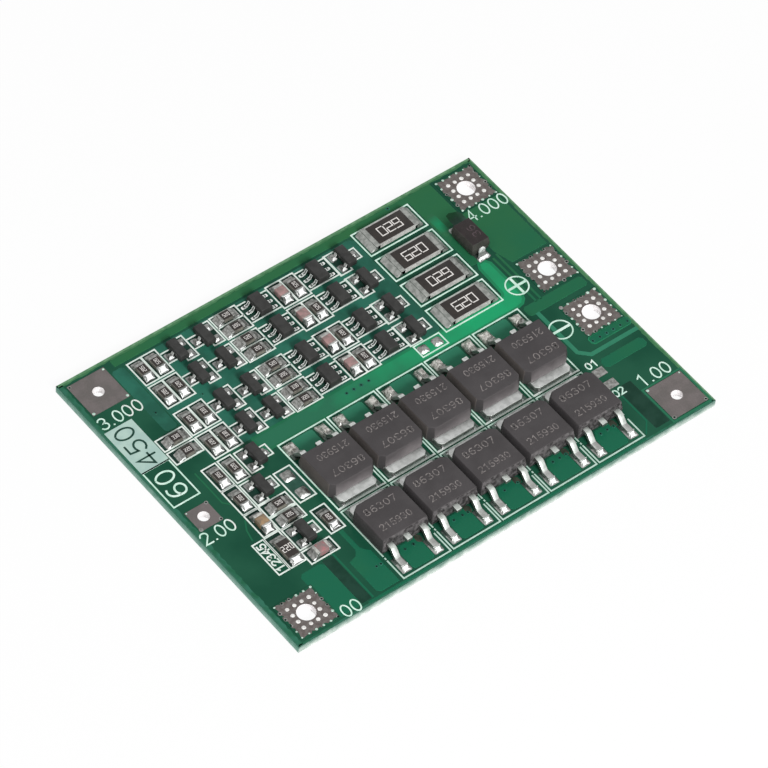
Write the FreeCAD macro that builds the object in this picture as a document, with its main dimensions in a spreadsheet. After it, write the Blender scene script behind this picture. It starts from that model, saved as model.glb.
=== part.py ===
import FreeCAD, Part
import os
import Sketcher

# A four-cell battery management board: ten power transistors in two banks, four balancing
# resistors, a diode, eight cell monitor chips and the small chip parts around them, all soldered
# to the top face of one circuit board. Millimetres. The underside of the board lies on Z = 0 with
# the board's centre over the origin, +X towards the load terminals and +Y towards the cell rows.

SIZES = {
    # circuit board and the free strips along its edges
    "board_thickness": 1.0,
    "left_strip": 4.59,
    "right_strip": 0.57,
    "top_strip": 2.1,
    "bottom_strip": 1.8,
    "land_thickness": 0.05,
    # plated terminals: square lands on both faces joined by a hole that is lined with copper and
    # solder
    "large_land": 5.42,
    "large_hole": 2.25,
    "cell_land": 5.15,
    "tap_land": 3.1,
    "cell_hole": 1.4,
    "plating": 0.16,
    "land_edge_left": 0.87,
    "land_edge_top": 0.85,
    "land_edge_bottom": 0.6,
    # stitching holes of the large terminals, four by four without the middle four, closed below by
    # the solder on the bottom land and so small that six sides will do
    "stitch_hole": 0.5,
    "stitch_pitch": 1.0,
    # power transistor: moulded body, tab, cut centre lead and two bent leads
    "mosfet_width": 6.6,
    "mosfet_depth": 6.1,
    "mosfet_height": 2.3,
    "mosfet_gap": 0.435,
    "mould_inset_low": 0.12,
    "mould_inset_high": 0.2,
    "mould_corner": 0.75,
    "tab_width": 5.3,
    "tab_reach": 1.1,
    "tab_corner": 0.45,
    "lead_thickness": 0.5,
    "lead_width": 0.76,
    "lead_pitch": 2.286,
    "lead_rise": 1.0,
    "lead_reach": 2.8,
    "lead_neck": 0.45,
    "lead_slope": 0.9,
    "lead_skew": 0.22,
    "lead_bend": 0.55,
    "lead_hidden": 0.8,
    "stub_reach": 0.75,
    "solder_room": 0.3,
    "bank_gap": 0.9,
    # balancing resistor
    "balance_length": 6.35,
    "balance_width": 3.2,
    "balance_height": 0.6,
    "balance_wrap": 0.6,
    "balance_coat_rim": 0.2,
    "balance_end_room": 0.96,
    "balance_side_room": 0.3,
    "balance_gap": 0.85,
    "balance_strip": 1.57,
    "film_thickness": 0.05,
    # rectifier diode
    "diode_length": 4.0,
    "diode_width": 2.6,
    "diode_height": 2.1,
    "diode_inset": 0.15,
    "diode_lead_width": 1.45,
    "diode_lead_thickness": 0.2,
    "diode_lead_out": 0.6,
    "diode_lead_under": 0.9,
    # chip resistors and capacitors
    "chip_length": 2.0,
    "chip_width": 1.25,
    "chip_height": 0.5,
    "chip_end": 0.4,
    "chip_coat_rim": 0.08,
    "capacitor_height": 0.85,
    "long_chip_length": 3.2,
    "long_chip_width": 1.6,
    "chip_end_room": 0.83,
    "side_room": 0.29,
    # three-lead transistor
    "transistor_length": 2.9,
    "transistor_width": 1.3,
    "transistor_height": 1.05,
    "transistor_reach": 0.55,
    "transistor_lead_width": 0.42,
    "transistor_end_room": 0.65,
    # six-lead cell monitor chip
    "monitor_length": 2.9,
    "monitor_width": 1.6,
    "monitor_height": 1.15,
    "monitor_reach": 0.6,
    "monitor_lead_width": 0.38,
    "monitor_end_room": 0.75,
    # details that both small lead packages share
    "small_pitch": 0.95,
    "small_lead": 0.13,
    "small_rise": 0.5,
    "small_slope": 0.15,
    "small_skew": 0.1,
    "small_inset": 0.08,
    "small_lift": 0.06,
    # spaces of the layout
    "box_gap": 0.13,
    "column_gap": 0.97,
    "row_gap": 0.31,
    "pair_gap": 0.95,
    "spare_gap": 0.12,
    "lead_clear": 1.52,
    "lower_strip": 6.15,
    "lower_gap": 0.32,
    "lower_drop": 0.5,
    "bank_side_gap": 0.55,
    "test_gap": 1.06,
    "load_gap": 1.5,
    "diode_drop": 1.58,
    "diode_clear": 2.87,
    "load_pair_gap": 2.63,
    "divider_rise": 2.2,
    "divider_gap": 0.43,
    "spare_length": 4.9,
    "spare_width": 2.3,
    "spare_drop": 1.1,
    "test_width": 1.5,
    "test_height": 1.2,
    "test_drop": 4.17,
    "test_pair_gap": 0.85,
    "bare_land": 1.0,
}

# Boxes around the parts and the two chains that set the board's outline, worked out from SIZES.
LAYOUT = {
    "chip_long": "Sizes.chip_length + 2 * Sizes.chip_end_room",
    "chip_wide": "Sizes.chip_width + 2 * Sizes.side_room",
    "transistor_long": "Sizes.transistor_width + 2 * Sizes.transistor_reach"
                       " + 2 * Sizes.transistor_end_room",
    "monitor_long": "Sizes.monitor_width + 2 * Sizes.monitor_reach + 2 * Sizes.monitor_end_room",
    "long_chip_long": "Sizes.long_chip_length + 2 * Sizes.chip_end_room",
    "pair_high": "2 * chip_wide + Sizes.box_gap",
    "row_high": "max(chip_long; pair_high; Sizes.monitor_length + 2 * Sizes.side_room;"
                " Sizes.transistor_length + 2 * Sizes.side_room)",
    "row_long": "4 * chip_wide + chip_long + 3 * transistor_long + 2 * monitor_long"
                " + 9 * Sizes.box_gap",
    "balance_long": "Sizes.balance_length + 2 * Sizes.balance_end_room",
    "balance_high": "Sizes.balance_width + 2 * Sizes.balance_side_room",
    "mosfet_long": "Sizes.tab_reach + Sizes.mosfet_depth + Sizes.lead_reach",
    "bank_long": "5 * Sizes.mosfet_width + 4 * Sizes.mosfet_gap",
    "lower_long": "chip_wide + 2 * Sizes.lower_gap + transistor_long + Sizes.spare_width",
    "upper_chain": "Sizes.left_strip + chip_long + Sizes.box_gap + row_long + balance_long"
                   " + 3 * Sizes.column_gap + Sizes.diode_width",
    "lower_chain": "Sizes.lower_strip + lower_long + Sizes.bank_side_gap + bank_long"
                   " + Sizes.test_gap + Sizes.test_width + Sizes.load_gap",
    "board_length": "max(upper_chain; lower_chain) + Sizes.large_land + Sizes.right_strip",
    "rows_high": "4 * row_high + 2 * Sizes.row_gap + Sizes.pair_gap",
    "bank_top": "max(Sizes.top_strip + rows_high + Sizes.spare_gap + chip_wide + Sizes.lead_clear;"
                " Sizes.balance_strip + 4 * balance_high + 3 * Sizes.balance_gap"
                " + Sizes.lead_clear)",
    "board_width": "bank_top + 2 * mosfet_long + Sizes.bank_gap + Sizes.bottom_strip",
}

MOSFETS_IN_BANK = 5
CELL_ROWS = 4
QUARTER, HALF = 90, 180


def write_sheet(name, cells, formulas=False):
    """A spreadsheet with one named cell to a row."""
    sheet = doc.addObject("Spreadsheet::Sheet", name)
    for row, (alias, content) in enumerate(cells.items(), 1):
        sheet.set(f"A{row}", alias)
        sheet.set(f"B{row}", f"={content}" if formulas else str(content))
        sheet.setAlias(f"B{row}", alias)
    doc.recompute()
    return sheet


doc = FreeCAD.newDocument("BatteryManagementBoard")
sizes = write_sheet("Sizes", SIZES)
layout = write_sheet("Layout", LAYOUT, formulas=True)


def value(expression):
    """The number that an expression on the two sheets gives."""
    return float(sizes.evalExpression(expression))


def bind(thing, **expressions):
    """Ties properties of an object to expressions on the sheets."""
    for name, expression in expressions.items():
        thing.setExpression(name.replace("__", "."), expression)
    return thing


def box(name, long, wide, high, x="0", y="0", low="0"):
    """A block centred on x and y, standing on the height low."""
    block = doc.addObject("Part::Box", name)
    return bind(
        block,
        Length=long,
        Width=wide,
        Height=high,
        Placement__Base__x=f"{x} - ({long}) / 2",
        Placement__Base__y=f"{y} - ({wide}) / 2",
        Placement__Base__z=low,
    )


def cylinder(name, diameter, low, high, x="0", y="0"):
    """An upright cylinder between two heights."""
    post = doc.addObject("Part::Cylinder", name)
    return bind(
        post,
        Radius=f"({diameter}) / 2",
        Height=f"{high} - ({low})",
        Placement__Base__x=x,
        Placement__Base__y=y,
        Placement__Base__z=low,
    )


def taper(name, low_long, low_wide, high_long, high_wide, low, high):
    """A block whose top and bottom differ in size, as a moulded body's halves do."""
    wedge = doc.addObject("Part::Wedge", name)
    bind(
        wedge,
        Xmin=f"-({low_long}) / 2",
        Xmax=f"({low_long}) / 2",
        Zmin=f"-({low_wide}) / 2",
        Zmax=f"({low_wide}) / 2",
        X2min=f"-({high_long}) / 2",
        X2max=f"({high_long}) / 2",
        Z2min=f"-({high_wide}) / 2",
        Z2max=f"({high_wide}) / 2",
        Ymin=low,
        Ymax=high,
    )
    wedge.Placement.Rotation = FreeCAD.Rotation(FreeCAD.Vector(1, 0, 0), QUARTER)
    return wedge


def fuse(name, pieces):
    joined = doc.addObject("Part::MultiFuse", name)
    joined.Shapes = pieces
    joined.Refine = True
    return joined


def cut(name, base, tool):
    remainder = doc.addObject("Part::Cut", name)
    remainder.Base = base
    remainder.Tool = tool
    return remainder


def outline_pad(name, plane, corners, thickness, offset="0", way="Symmetric", inset=""):
    """A PartDesign body: a closed outline of straight runs, drawn on a plane and padded both ways,
    "Up" or "Down". An inset draws the walls in by that much at the far face.
    """
    body = doc.addObject("PartDesign::Body", name)
    sketch = body.newObject("Sketcher::SketchObject", f"{name}_outline")
    support = next(item for item in body.Origin.OriginFeatures if item.Role == plane)
    sketch.AttachmentSupport = [(support, "")]
    sketch.MapMode = "FlatFace"
    bind(sketch, AttachmentOffset__Base__z=offset)
    points = [FreeCAD.Vector(value(across), value(up), 0) for across, up in corners]
    count = len(points)
    for index, point in enumerate(points):
        sketch.addGeometry(Part.LineSegment(point, points[(index + 1) % count]))
    for index in range(count):
        sketch.addConstraint(
            Sketcher.Constraint("Coincident", index, 2, (index + 1) % count, 1)
        )
    for index, (point, corner) in enumerate(zip(points, corners)):
        for kind, number, expression in zip(("DistanceX", "DistanceY"), point, corner):
            added = sketch.addConstraint(Sketcher.Constraint(kind, -1, 1, index, 1, number))
            sketch.setExpression(f"Constraints[{added}]", expression)
    pad = body.newObject("PartDesign::Pad", f"{name}_pad")
    pad.Profile = sketch
    if way == "Symmetric":
        pad.SideType = "Symmetric"
    pad.Reversed = way == "Down"
    bind(pad, Length=thickness)
    if inset:
        bind(pad, TaperAngle=f"-atan(({inset}) / ({thickness}))")
    return body


def round_bends(body, radius, bends):
    """Rounds the edges of a padded profile that pass through the given corners of its outline."""
    doc.recompute()
    base = body.Tip
    chosen = []
    for number, edge in enumerate(base.Shape.Edges, 1):
        middle = edge.CenterOfMass
        along = edge.BoundBox.XLength > edge.BoundBox.YLength + edge.BoundBox.ZLength
        if along and any(
            abs(middle.y - value(across)) + abs(middle.z - value(up)) < 1e-6
            for across, up in bends
        ):
            chosen.append(f"Edge{number}")
    rounding = body.newObject("PartDesign::Fillet", f"{body.Name}_bends")
    rounding.Base = (base, chosen)
    bind(rounding, Radius=radius)
    return body


def gull_wing(neck, slope, skew, rise, thickness, reach):
    """Corners of a bent lead seen from the side: down its lower face to the toe and back, with the
    foot on height 0. It slopes down from the end of its neck, and the skew keeps it one thickness.
    """
    return [
        (neck, rise),
        (f"{neck} + {slope}", "0"),
        (reach, "0"),
        (reach, thickness),
        (f"{neck} + {slope} + {skew}", thickness),
        (f"{neck} + {skew}", f"{rise} + {thickness}"),
    ]


def at(x, y, z, turn=0):
    return FreeCAD.Placement(
        FreeCAD.Vector(x, y, z), FreeCAD.Rotation(FreeCAD.Vector(0, 0, 1), turn)
    )


nodes = []


def node(label, pattern, place):
    """One sub-part: the shape of a pattern piece, set in its place on the board."""
    piece = doc.addObject("Part::Feature", label)
    piece.Label = label
    piece.Shape = pattern.Shape
    piece.Placement = place.multiply(pattern.Placement)
    nodes.append(piece)
    return piece


def group(label, *patterns_and_places):
    """One sub-part that holds copies of small pieces, each a solid of its own."""
    copies = []
    for pattern, places in patterns_and_places:
        for place in places:
            copy = pattern.Shape.copy()
            copy.Placement = place.multiply(copy.Placement)
            copies.append(copy)
    piece = doc.addObject("Part::Feature", label)
    piece.Label = label
    piece.Shape = Part.makeCompound(copies)
    return piece


def group_node(label, *patterns_and_places):
    piece = group(label, *patterns_and_places)
    nodes.append(piece)
    return piece


# Plated terminals

def stitch_spots():
    """Centres of the stitching holes: a four by four grid without its middle four."""
    steps = (-1.5, -0.5, 0.5, 1.5)
    pitch = value("Sizes.stitch_pitch")
    return [
        at(pitch * across, pitch * up, 0)
        for across in steps
        for up in steps
        if max(abs(across), abs(up)) > 1
    ]


def terminal_pattern(name, land, hole, stitched):
    """Returns the plated terminal and the seat that the board is cut with to hold it."""
    top = "Sizes.board_thickness"
    barrel = f"{hole} + 2 * Sizes.plating"
    lands = fuse(
        f"{name}_lands",
        [
            box(f"{name}_top_land", land, land, "Sizes.land_thickness", low=top),
            box(f"{name}_bottom_land", land, land, "Sizes.land_thickness"),
            cylinder(f"{name}_barrel", barrel, "0", top),
        ],
    )
    seat_parts = [
        box(f"{name}_bottom_seat", land, land, "Sizes.land_thickness"),
        cylinder(f"{name}_barrel_seat", barrel, "0", top),
    ]
    bore = cylinder(f"{name}_hole", hole, "0", f"{top} + Sizes.land_thickness")
    if not stitched:
        return cut(name, lands, bore), fuse(f"{name}_seat", seat_parts)
    stitch = doc.addObject("Part::Prism", f"{name}_stitch")
    stitch.Polygon = 6
    bind(
        stitch,
        Circumradius="Sizes.stitch_hole / 2",
        Height=top,
        Placement__Base__z="Sizes.land_thickness",
    )
    doc.recompute()
    holes = group(f"{name}_holes", (bore, [at(0, 0, 0)]), (stitch, stitch_spots()))
    stitches = group(f"{name}_stitches", (stitch, stitch_spots()))
    return cut(name, lands, holes), fuse(f"{name}_seat", seat_parts + [stitches])


# Power transistors

def mosfet_lead():
    edge = "Sizes.mosfet_depth / 2"
    corners = gull_wing(
        f"{edge} + Sizes.lead_neck",
        "Sizes.lead_slope",
        "Sizes.lead_skew",
        "Sizes.lead_rise",
        "Sizes.lead_thickness",
        f"{edge} + Sizes.lead_reach",
    )
    outer_bends = [corners[1], corners[5]]
    root = f"{edge} - Sizes.lead_hidden"
    corners.append((root, "Sizes.lead_rise + Sizes.lead_thickness"))
    corners.append((root, "Sizes.lead_rise"))
    lead = outline_pad("mosfet_lead", "YZ_Plane", corners, "Sizes.lead_width")
    return round_bends(lead, "Sizes.lead_bend", outer_bends)


def mosfet_tab():
    """The tab under the body, with the cut centre lead that rises from it inside the mould."""
    half = "Sizes.tab_width / 2"
    end = "-Sizes.mosfet_depth / 2 - Sizes.tab_reach"
    inner = "Sizes.mosfet_depth / 2 - Sizes.lead_hidden"
    plate = outline_pad(
        "mosfet_tab_plate",
        "XY_Plane",
        [
            (f"-{half}", f"{end} + Sizes.tab_corner"),
            (f"-{half} + Sizes.tab_corner", end),
            (f"{half} - Sizes.tab_corner", end),
            (half, f"{end} + Sizes.tab_corner"),
            (half, inner),
            (f"-{half}", inner),
        ],
        "Sizes.lead_thickness",
        way="Up",
    )
    post = box(
        "mosfet_post",
        "Sizes.lead_width",
        "Sizes.lead_thickness",
        "Sizes.lead_rise",
        y=f"{inner} - Sizes.lead_thickness / 2",
    )
    stub = box(
        "mosfet_stub",
        "Sizes.lead_width",
        "Sizes.lead_hidden + Sizes.lead_thickness + Sizes.stub_reach",
        "Sizes.lead_thickness",
        y=f"{inner} + (Sizes.lead_hidden + Sizes.stub_reach - Sizes.lead_thickness) / 2",
        low="Sizes.lead_rise",
    )
    return fuse("mosfet_tab", [plate, post, stub])


def mosfet_patterns():
    """Returns the leadframe and the moulded body that is cut to hold it."""
    tab, lead = mosfet_tab(), mosfet_lead()
    doc.recompute()
    offset = value("Sizes.lead_pitch")
    leadframe = group(
        "mosfet_leadframe", (tab, [at(0, 0, 0)]), (lead, [at(-offset, 0, 0), at(offset, 0, 0)])
    )
    half, end = "Sizes.mosfet_width / 2", "Sizes.mosfet_depth / 2"
    parting = "Sizes.lead_rise"
    corners = [
        (f"-{half}", f"-{end} + Sizes.mould_corner"),
        (f"-{half} + Sizes.mould_corner", f"-{end}"),
        (f"{half} - Sizes.mould_corner", f"-{end}"),
        (half, f"-{end} + Sizes.mould_corner"),
        (half, end),
        (f"-{half}", end),
    ]
    halves = [
        outline_pad(f"mosfet_mould_{way}", "XY_Plane", corners, high, parting, way, inset)
        for way, high, inset in (
            ("Down", parting, "Sizes.mould_inset_low"),
            ("Up", f"Sizes.mosfet_height - {parting}", "Sizes.mould_inset_high"),
        )
    ]
    return leadframe, cut("mosfet_body", fuse("mosfet_mould", halves), leadframe)


# Small packages with leads

def small_package(name, width, length, height):
    """A moulded body: two tapered halves and, between them, the band that the leads leave from."""
    inset = "2 * Sizes.small_inset"
    band_top = "Sizes.small_rise + Sizes.small_lead"
    lower = taper(
        f"{name}_lower",
        f"{width} - {inset}",
        f"{length} - {inset}",
        width,
        length,
        "Sizes.small_lift",
        "Sizes.small_rise",
    )
    band = box(f"{name}_band", width, length, "Sizes.small_lead", low="Sizes.small_rise")
    upper = taper(
        f"{name}_upper",
        width,
        length,
        f"{width} - {inset}",
        f"{length} - {inset}",
        band_top,
        height,
    )
    return fuse(name, [lower, band, upper])


def small_lead(name, body_width, reach, width, side, step):
    """A bent lead on one side (1 or -1) of a small body, so many pitches from its middle."""
    face = f"({body_width}) / 2"
    corners = gull_wing(
        face,
        "Sizes.small_slope",
        "Sizes.small_skew",
        "Sizes.small_rise",
        "Sizes.small_lead",
        f"{face} + {reach}",
    )
    corners[-1] = (face, "Sizes.small_rise + Sizes.small_lead")
    corners = [(f"{side} * ({across})", up) for across, up in corners]
    return outline_pad(name, "XZ_Plane", corners, width, f"-({step}) * Sizes.small_pitch")


def transistor_patterns():
    body = small_package(
        "transistor_body",
        "Sizes.transistor_width",
        "Sizes.transistor_length",
        "Sizes.transistor_height",
    )
    leads = [
        small_lead(
            f"transistor_lead_{index}",
            "Sizes.transistor_width",
            "Sizes.transistor_reach",
            "Sizes.transistor_lead_width",
            side,
            step,
        )
        for index, (side, step) in enumerate(((-1, 0), (1, -1), (1, 1)), 1)
    ]
    return body, leads


def monitor_patterns():
    body = small_package(
        "monitor_body", "Sizes.monitor_width", "Sizes.monitor_length", "Sizes.monitor_height"
    )
    leads = [
        small_lead(
            f"monitor_lead_{index}",
            "Sizes.monitor_width",
            "Sizes.monitor_reach",
            "Sizes.monitor_lead_width",
            side,
            step,
        )
        for index, (side, step) in enumerate(
            [(side, step) for side in (-1, 1) for step in (-1, 0, 1)], 1
        )
    ]
    return body, leads


# Chip parts

def chip_patterns(name, length, width, height, coated=True):
    """Returns the ceramic, its two end caps and, on a resistor, its dark coat."""
    end = "Sizes.chip_end"
    reach = f"({length}) / 2 - {end} / 2"
    ceramic = box(f"{name}_ceramic", f"{length} - 2 * {end}", width, height)
    ends = [
        box(f"{name}_left_end", end, width, height, x=f"-({reach})"),
        box(f"{name}_right_end", end, width, height, x=reach),
    ]
    if not coated:
        return ceramic, ends, None
    coat = box(
        f"{name}_coat",
        f"{length} - 2 * {end}",
        f"{width} - 2 * Sizes.chip_coat_rim",
        "Sizes.film_thickness",
        low=height,
    )
    return ceramic, ends, coat


def balance_patterns():
    """The large resistor: a ceramic plate, a coat on top and caps wrapped around its ends."""
    film = "Sizes.film_thickness"
    long, wide, high = "Sizes.balance_length", "Sizes.balance_width", "Sizes.balance_height"
    wrap = "Sizes.balance_wrap"
    plate = box(
        "balance_plate", f"{long} - 2 * {film}", wide, f"{high} - 2 * {film}", low=film
    )
    coat = box(
        "balance_coat",
        f"{long} - 2 * {wrap}",
        f"{wide} - 2 * Sizes.balance_coat_rim",
        film,
        low=f"{high} - {film}",
    )
    caps = [
        cut(
            f"balance_{side}_cap",
            box(
                f"balance_{side}_wrap", wrap, wide, high, x=f"{sign}(({long}) / 2 - {wrap} / 2)"
            ),
            plate,
        )
        for side, sign in (("left", "-"), ("right", ""))
    ]
    return plate, coat, caps


def diode_patterns():
    """The diode's moulded body and its two leads, folded down and back under it."""
    long, wide, inset = "Sizes.diode_length", "Sizes.diode_width", "2 * Sizes.diode_inset"
    thick, out = "Sizes.diode_lead_thickness", "Sizes.diode_lead_out"
    face = f"{long} / 2"
    parting = "Sizes.diode_height / 2"
    band_top = f"{parting} + {thick}"
    body = fuse(
        "diode_mould",
        [
            taper(
                "diode_lower",
                f"{wide} - {inset}",
                f"{long} - {inset}",
                wide,
                long,
                thick,
                parting,
            ),
            box("diode_band", wide, long, thick, low=parting),
            taper(
                "diode_upper",
                wide,
                long,
                f"{wide} - {inset}",
                f"{long} - {inset}",
                band_top,
                "Sizes.diode_height",
            ),
        ],
    )
    corners = [
        (face, band_top),
        (f"{face} + {out}", band_top),
        (f"{face} + {out}", "0"),
        (f"{face} - Sizes.diode_lead_under", "0"),
        (f"{face} - Sizes.diode_lead_under", thick),
        (f"{face} + {out} - {thick}", thick),
        (f"{face} + {out} - {thick}", parting),
        (face, parting),
    ]
    lead = outline_pad("diode_lead", "YZ_Plane", corners, "Sizes.diode_lead_width")
    return body, lead


# Layout: every place is measured from the board's left and top edges, then turned into X and Y.

def place(from_left, from_top, height, turn=0):
    return at(
        from_left - value("Layout.board_length") / 2,
        value("Layout.board_width") / 2 - from_top,
        height,
        turn,
    )


def chain(start, widths, gap):
    """Middles of boxes that stand side by side with one gap between them."""
    middles = []
    for width in widths:
        middles.append(start + width / 2)
        start += width + gap
    return middles


top_face = value("Sizes.board_thickness")
land_face = value("Sizes.board_thickness + Sizes.land_thickness")
chip_long, chip_wide = value("Layout.chip_long"), value("Layout.chip_wide")
transistor_long, monitor_long = value("Layout.transistor_long"), value("Layout.monitor_long")
row_high = value("Layout.row_high")
box_gap = value("Sizes.box_gap")
board_length, board_width = value("Layout.board_length"), value("Layout.board_width")

chips, capacitors, transistors, monitors = [], [], [], []

# Cell rows, from the top edge down
row_tops = []
row_top = value("Sizes.top_strip")
for gap_after in ("Sizes.row_gap", "Sizes.pair_gap", "Sizes.row_gap", "Sizes.row_gap"):
    row_tops.append(row_top)
    row_top += row_high + value(gap_after)
rows_bottom = row_tops[-1] + row_high

row_start = value("Sizes.left_strip") + chip_long + box_gap
row_widths = [chip_wide, chip_wide, transistor_long, transistor_long, chip_long]
row_widths += [monitor_long, chip_wide, chip_wide, monitor_long, transistor_long]
row_columns = chain(row_start, row_widths, box_gap)
for row_top in row_tops:
    middle = row_top + row_high / 2
    for column in (0, 1, 7):
        chips.append(place(row_columns[column], middle, top_face, QUARTER))
    for column in (2, 3):
        transistors.append(place(row_columns[column], middle, top_face))
    for side in (-1, 1):
        offset = side * (chip_wide + box_gap) / 2
        chips.append(place(row_columns[4], middle + offset, top_face))
    for column in (5, 8):
        monitors.append(place(row_columns[column], middle, top_face))
    capacitors.append(place(row_columns[6], middle, top_face, QUARTER))
    transistors.append(place(row_columns[9], middle, top_face, HALF))

# Balancing resistors, beside the cell rows
balance_column = (
    row_start
    + value("Layout.row_long + Sizes.column_gap")
    + value("Layout.balance_long") / 2
)
balance_rows = chain(
    value("Sizes.balance_strip"),
    [value("Layout.balance_high")] * CELL_ROWS,
    value("Sizes.balance_gap"),
)
balances = [place(balance_column, row, land_face) for row in balance_rows]

# Two banks of power transistors with their tabs towards each other
bank_top = value("Layout.bank_top")
bank_start = value("Sizes.lower_strip + Layout.lower_long + Sizes.bank_side_gap")
bank_columns = chain(
    bank_start,
    [value("Sizes.mosfet_width")] * MOSFETS_IN_BANK,
    value("Sizes.mosfet_gap"),
)
upper_bank = bank_top + value("Sizes.lead_reach + Sizes.mosfet_depth / 2")
lower_bank = bank_top + value(
    "2 * Layout.mosfet_long + Sizes.bank_gap - Sizes.lead_reach - Sizes.mosfet_depth / 2"
)
mosfets = [place(column, upper_bank, land_face) for column in bank_columns]
mosfets += [place(column, lower_bank, land_face, HALF) for column in bank_columns]

# Lower left group, in four rows and three columns
lower_tops = chain(
    rows_bottom + value("Sizes.lower_drop"),
    [chip_long, chip_long, chip_long, value("Layout.long_chip_long")],
    value("Sizes.lower_gap"),
)
first_column = value("Sizes.lower_strip") + chip_wide / 2
second_start = value("Sizes.lower_strip + Layout.chip_wide + Sizes.lower_gap")
second_column = second_start + transistor_long / 2
third_start = second_start + transistor_long + value("Sizes.lower_gap")
third_column = third_start + value("Sizes.spare_width") / 2
pair_offset = (chip_wide + value("Sizes.lower_gap") / 2) / 2

chips.append(place(first_column, lower_tops[0], top_face, QUARTER))
chips.append(place(second_start + chip_wide / 2, lower_tops[0], top_face, QUARTER))
switch_column = second_start + chip_wide + value("Sizes.lower_gap") + transistor_long / 2
transistors.append(place(switch_column, lower_tops[0], top_face, HALF))
chips.append(place(first_column, lower_tops[1], top_face, QUARTER))
transistors.append(place(second_column, lower_tops[1], top_face, HALF))
capacitors.append(place(first_column, lower_tops[2], top_face, QUARTER))
chips.append(place(second_column, lower_tops[2] - pair_offset, top_face))
chips.append(place(second_column, lower_tops[2] + pair_offset, top_face))
long_chip = place(first_column, lower_tops[3], top_face, QUARTER)
timer_top = lower_tops[2] + pair_offset + chip_wide / 2 + value("Sizes.lower_gap") / 2
timer_high = value("Sizes.transistor_length + 2 * Sizes.side_room")
timer_row = timer_top + timer_high / 2
transistors.append(place(second_column, timer_row, top_face, HALF))
capacitors.append(
    place(
        second_column,
        timer_top + timer_high + value("Sizes.lower_gap") + chip_wide / 2,
        top_face,
    )
)
chips.append(place(third_column, timer_row, top_face, QUARTER))

# Two resistors at the left edge, above the lower left group
divider_bottom = rows_bottom + value("Sizes.lower_drop - Sizes.divider_rise")
divider_column = value("Sizes.left_strip") + chip_long / 2
for step in (0.5, 1.5):
    divider_row = divider_bottom - step * chip_wide - (step - 0.5) * value("Sizes.divider_gap")
    chips.append(place(divider_column, divider_row, top_face))

# Terminals, at the corners and along the right edge
large_land, cell_land = value("Sizes.large_land"), value("Sizes.cell_land")
tap_land = value("Sizes.tap_land")
right_edge = board_length - value("Sizes.right_strip")
left_edge, top_edge = value("Sizes.land_edge_left"), value("Sizes.land_edge_top")
bottom_edge = board_width - value("Sizes.land_edge_bottom")
diode_top = top_edge + large_land + value("Sizes.diode_drop")
diode_long = value("Sizes.diode_length + 2 * Sizes.diode_lead_out")
load_rows = chain(
    diode_top + diode_long + value("Sizes.diode_clear"),
    [large_land, large_land],
    value("Sizes.load_pair_gap"),
)
right_large = right_edge - large_land / 2
diode = place(
    right_edge - large_land - value("Sizes.column_gap + Sizes.diode_width / 2"),
    diode_top + diode_long / 2,
    land_face,
)
tap_row = lower_tops[0] + chip_long / 2 + tap_land / 2
terminal_places = {
    "battery_plus_terminal": ("large", place(right_large, top_edge + large_land / 2, 0)),
    "load_plus_terminal": ("large", place(right_large, load_rows[0], 0)),
    "load_minus_terminal": ("large", place(right_large, load_rows[1], 0)),
    "battery_minus_terminal": (
        "large",
        place(left_edge + large_land / 2, bottom_edge - large_land / 2, 0),
    ),
    "cell_tap_3_terminal": ("cell", place(left_edge + cell_land / 2, top_edge + cell_land / 2, 0)),
    "cell_tap_2_terminal": ("tap", place(left_edge + tap_land / 2, tap_row, 0)),
    "cell_tap_1_terminal": (
        "cell",
        place(right_edge - cell_land / 2, bottom_edge - cell_land / 2, 0),
    ),
}

# Bare lands: two empty footprints and two test lands
bare_places = []
spare_middle = lower_tops[1] - chip_long / 2 + value("Sizes.spare_drop + Sizes.spare_length / 2")
spare_offset = value("Sizes.spare_length / 2 - Sizes.spare_drop / 2 - Sizes.bare_land / 2")
for side in (-1, 1):
    bare_places.append(place(third_column, spare_middle + side * spare_offset, top_face))
    bare_places.append(
        place(
            row_columns[9] + side * value("Sizes.chip_length") / 2,
            rows_bottom + value("Sizes.spare_gap") + chip_wide / 2,
            top_face,
        )
    )
test_column = right_edge - large_land - value("Sizes.load_gap + Sizes.test_width / 2")
test_places = [
    place(test_column, row, top_face)
    for row in chain(
        load_rows[1] + large_land / 2 + value("Sizes.test_drop"),
        [value("Sizes.test_height")] * 2,
        value("Sizes.test_pair_gap"),
    )
]

# Pattern pieces
terminal_kinds = {
    "large": terminal_pattern("large_terminal", "Sizes.large_land", "Sizes.large_hole", True),
    "cell": terminal_pattern("cell_terminal", "Sizes.cell_land", "Sizes.cell_hole", False),
    "tap": terminal_pattern("tap_terminal", "Sizes.tap_land", "Sizes.cell_hole", False),
}
mosfet_leadframe, mosfet_body = mosfet_patterns()
transistor_body, transistor_leads = transistor_patterns()
monitor_body, monitor_leads = monitor_patterns()
chip_ceramic, chip_ends, chip_coat = chip_patterns(
    "chip", "Sizes.chip_length", "Sizes.chip_width", "Sizes.chip_height"
)
long_ceramic, long_ends, long_coat = chip_patterns(
    "long_chip", "Sizes.long_chip_length", "Sizes.long_chip_width", "Sizes.chip_height"
)
capacitor_body, capacitor_ends, _ = chip_patterns(
    "capacitor", "Sizes.chip_length", "Sizes.chip_width", "Sizes.capacitor_height", coated=False
)
balance_plate, balance_coat, balance_caps = balance_patterns()
diode_body, diode_lead = diode_patterns()

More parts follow.
